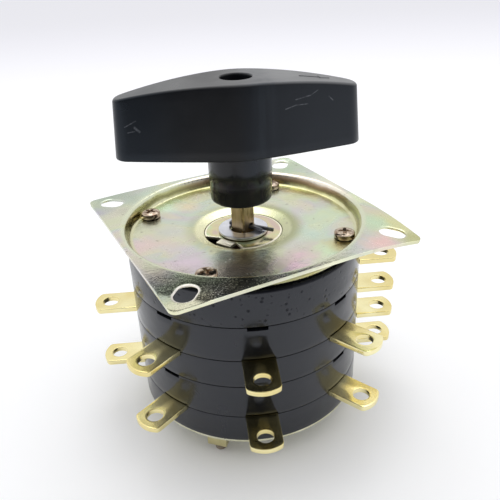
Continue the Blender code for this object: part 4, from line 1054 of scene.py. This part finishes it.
def arm_pocket(end):
    """The hollow under one arm: a prism between the neck and the end wall whose roof follows the crown."""
    inner = lever_outline(DRAFT + 2.6, 600)
    wide = inner[(inner[:, 0] * end > 0) & (norm(inner, axis=1) > 11.6)]
    wide = wide[np.argsort(arctan2(wide[:, 1], wide[:, 0] * end - 20))]
    corner = arctan2(wide[-1, 1], wide[-1, 0] * end)
    turn = linspace(corner, -corner, 40)
    neck = circle(11.2, turn) * (end, 1)
    return under_crown(*post(joined(wide, neck), HANDLE_BASE - 2, HANDLE_TOP - 2.6, 0.05))


def arm_rib(end):
    """A straight rib under one arm, from the neck to the end wall, let into the roof."""
    foot = with_corners(bar(9, 37.5, 1) * (end, 1), 1.2)
    return under_crown(*post(foot, HANDLE_BASE + 7, HANDLE_TOP - 1.4, 0.1))


def pointer():
    """A thin raised arrow on the crowned top: a bar and a triangular head, lifted by the crown's own height."""
    head = array([(26.5, -1.3), (30.2, 0), (26.5, 1.3), (27.4, 0)])
    shapes = []
    for corners in (bar(20.3, 27.4, 0.22), head):
        points, quads = post(with_corners(corners, 0.4), -0.4, 0.14, 0.05)
        points[:, 2] += crown(points[:, 0])
        shapes.append(spun((points, quads), HANDLE_TURN))
    return shapes


def lever_handle():
    shape = spun(lever_surface(), HANDLE_TURN)
    handle = piece("lever_handle", "shell", [shape], HANDLE, TURNING)
    hollowed(handle, [spun(arm_pocket(end), HANDLE_TURN) for end in (1, -1)])
    ribs = [spun(arm_rib(end), HANDLE_TURN) for end in (1, -1)]
    piece("lever_handle", "ribs", ribs, HANDLE, TURNING, replaces=False)
    piece("pointer", "mark", pointer(), HANDLE, TURNING, replaces=False)


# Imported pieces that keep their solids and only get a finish


def finish_packed():
    finishes = {"shaft": SHAFT, "handle_screw": WHITE_ZINC, "rear_clip": DARK, "detent_wheel": BROWN}
    for number in (1, 2):
        finishes[f"detent_spring_{number}"] = SPRING
        finishes[f"rotor_{number}"] = BROWN
        finishes[f"contact_blade_{number}"] = BRASS
    for node, finish in finishes.items():
        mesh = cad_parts[node].data
        mesh.materials.clear()
        mesh.materials.append(finish)


# Stage


def sheet(name, corners, finish):
    """A flat sheet of the stage, from four corners in metres."""
    mesh = bpy.data.meshes.new(name)
    mesh.from_pydata(corners, [], [(0, 1, 2, 3)])
    mesh.materials.append(finish)
    obj = placed(name, mesh)
    return obj


def floor_material():
    """Pale floor that takes the shadow. For the camera and in reflections a plain glow lifts it: less so far behind
    the switch as seen from the camera. In front of the switch and under it the glow is cut back as a painted shadow,
    which is deepest under it."""
    f = Finish("pale_floor", (0.795, 0.8, 0.815), 0.9)
    behind = f.toward(0.434, 0.901)
    far = f.fall(behind, 250, 1200, 0.3, 0.15)
    # Painted shadow: the glow is cut back in front of the switch and, most, under it
    near = f.fall(behind, -120, 100, 0.045)
    under = f.fall(f.radius, 40, 78, 0.11) + f.fall(f.radius, 34, 50, 0.1)
    path = f.add("ShaderNodeLightPath")
    glow = (far - near - under) * f.largest(f.out(path, "Is Camera Ray"), f.out(path, "Is Glossy Ray"))
    tone = f.mix(f.rise(behind, 250, 1000), (0.98, 0.98, 1), (0.82, 0.78, 1))
    return f.shade(Specular_IOR_Level=0, Emission_Color=tone, Emission_Strength=glow)


def backdrop():
    """A wide floor, a hair under the switch."""
    corners = [(x * 6.0, y * 6.0, 0.0) for x, y in ((-1, -1), (1, -1), (1, 1), (-1, 1))]
    sheet("floor", corners, floor_material()).location.z = -0.0001


def dark_card():
    """A dark card behind the camera, as wide as the photographer's side of the room, seen only in reflections."""
    ahead = heading(radians(244.25))
    side = array([-ahead[1], ahead[0]])
    places = ((-0.3, 0.002), (0.3, 0.002), (0.3, 0.42), (-0.3, 0.42))
    corners = [(*(ahead * 0.42 + side * off), height) for off, height in places]
    card = sheet("dark_card", corners, Finish("dark_card", (0.03, 0.03, 0.03), 0.9).material)
    card.visible_camera = card.visible_shadow = card.visible_diffuse = False


def surroundings():
    """A pale room: brighter overhead, darker on the photographer's side, and plain white where the camera sees it."""
    world = bpy.data.worlds.new("pale_room")
    world.use_nodes = True
    room = Nodes(world.node_tree)
    direction = room.out(room.add("ShaderNodeTexCoord"), "Generated")
    towards = room.vector("DOT_PRODUCT", direction, (-0.53, -0.848, 0))
    level = room.fall(towards, 0.1, 0.8, 0.92, 0.25) * room.rise(room.split(direction)[2], 0.45, 0.95, 1, 1.25)
    seen = room.out(room.add("ShaderNodeLightPath"), "Is Camera Ray")
    background = world.node_tree.nodes["Background"].inputs
    room.put(background["Strength"], room.largest(level, seen))
    room.put(background["Color"], (1, 1, 1))
    bpy.context.scene.world = world


def standing(place, right, up, back):
    """A matrix at the place, with its axes along right, up and back."""
    return Matrix(np.vstack([np.column_stack([right, up, back, place]), (0, 0, 0, 1)]).tolist())


def key_softbox():
    """A square lamp high up behind the switch, turned to its upper half."""
    data = bpy.data.lights.new("key_softbox", "AREA")
    data.shape = "SQUARE"
    data.size = 0.5
    data.energy = 1.2
    place = array([0.16, 0.3, 0.8])
    back = place - (0, 0, 0.06)
    back /= norm(back)
    right = np.cross((0, 0, 1), back)
    right /= norm(right)
    placed("key_softbox", data).matrix_world = standing(place, right, np.cross(back, right), back)


def swung(a, b, angle):
    """Two axes at right angles, turned by the angle in their own plane."""
    c, s = cos(angle), sin(angle)
    return a * c + b * s, b * c - a * s


def camera():
    """The photo's view: the camera looks at the flange's middle from its own azimuth and height, rolled a little and
    swung by two small angles."""
    azimuth, height, roll, swing, tilt = radians([-25.75, 25.28, -2.86, 0.71, -3.31])
    away = array([sin(azimuth) * cos(height), -cos(azimuth) * cos(height), sin(height)])
    right = array([cos(azimuth), sin(azimuth), 0])
    right, up = swung(right, np.cross(right, -away), roll)
    right, ahead = swung(right, -away, -swing)
    up, ahead = swung(up, ahead, -tilt)
    data = bpy.data.cameras.new("camera")
    data.lens = 43.02
    data.sensor_width = 36
    data.clip_start = 0.01
    view = placed("camera", data)
    view.matrix_world = standing(away * 0.21187 + (0, 0, FLANGE * MM), right, up, -ahead)
    bpy.context.scene.camera = view


mounting_plate()
wafers()
detent_housing()
tabs()
bolts()
clamp_nuts()
rear_plate()
stop_disc()
shaft_washer()
split_pin()
lever_handle()
finish_packed()
backdrop()
dark_card()
surroundings()
key_softbox()
camera()
bpy.context.scene.view_settings.view_transform = "Standard"
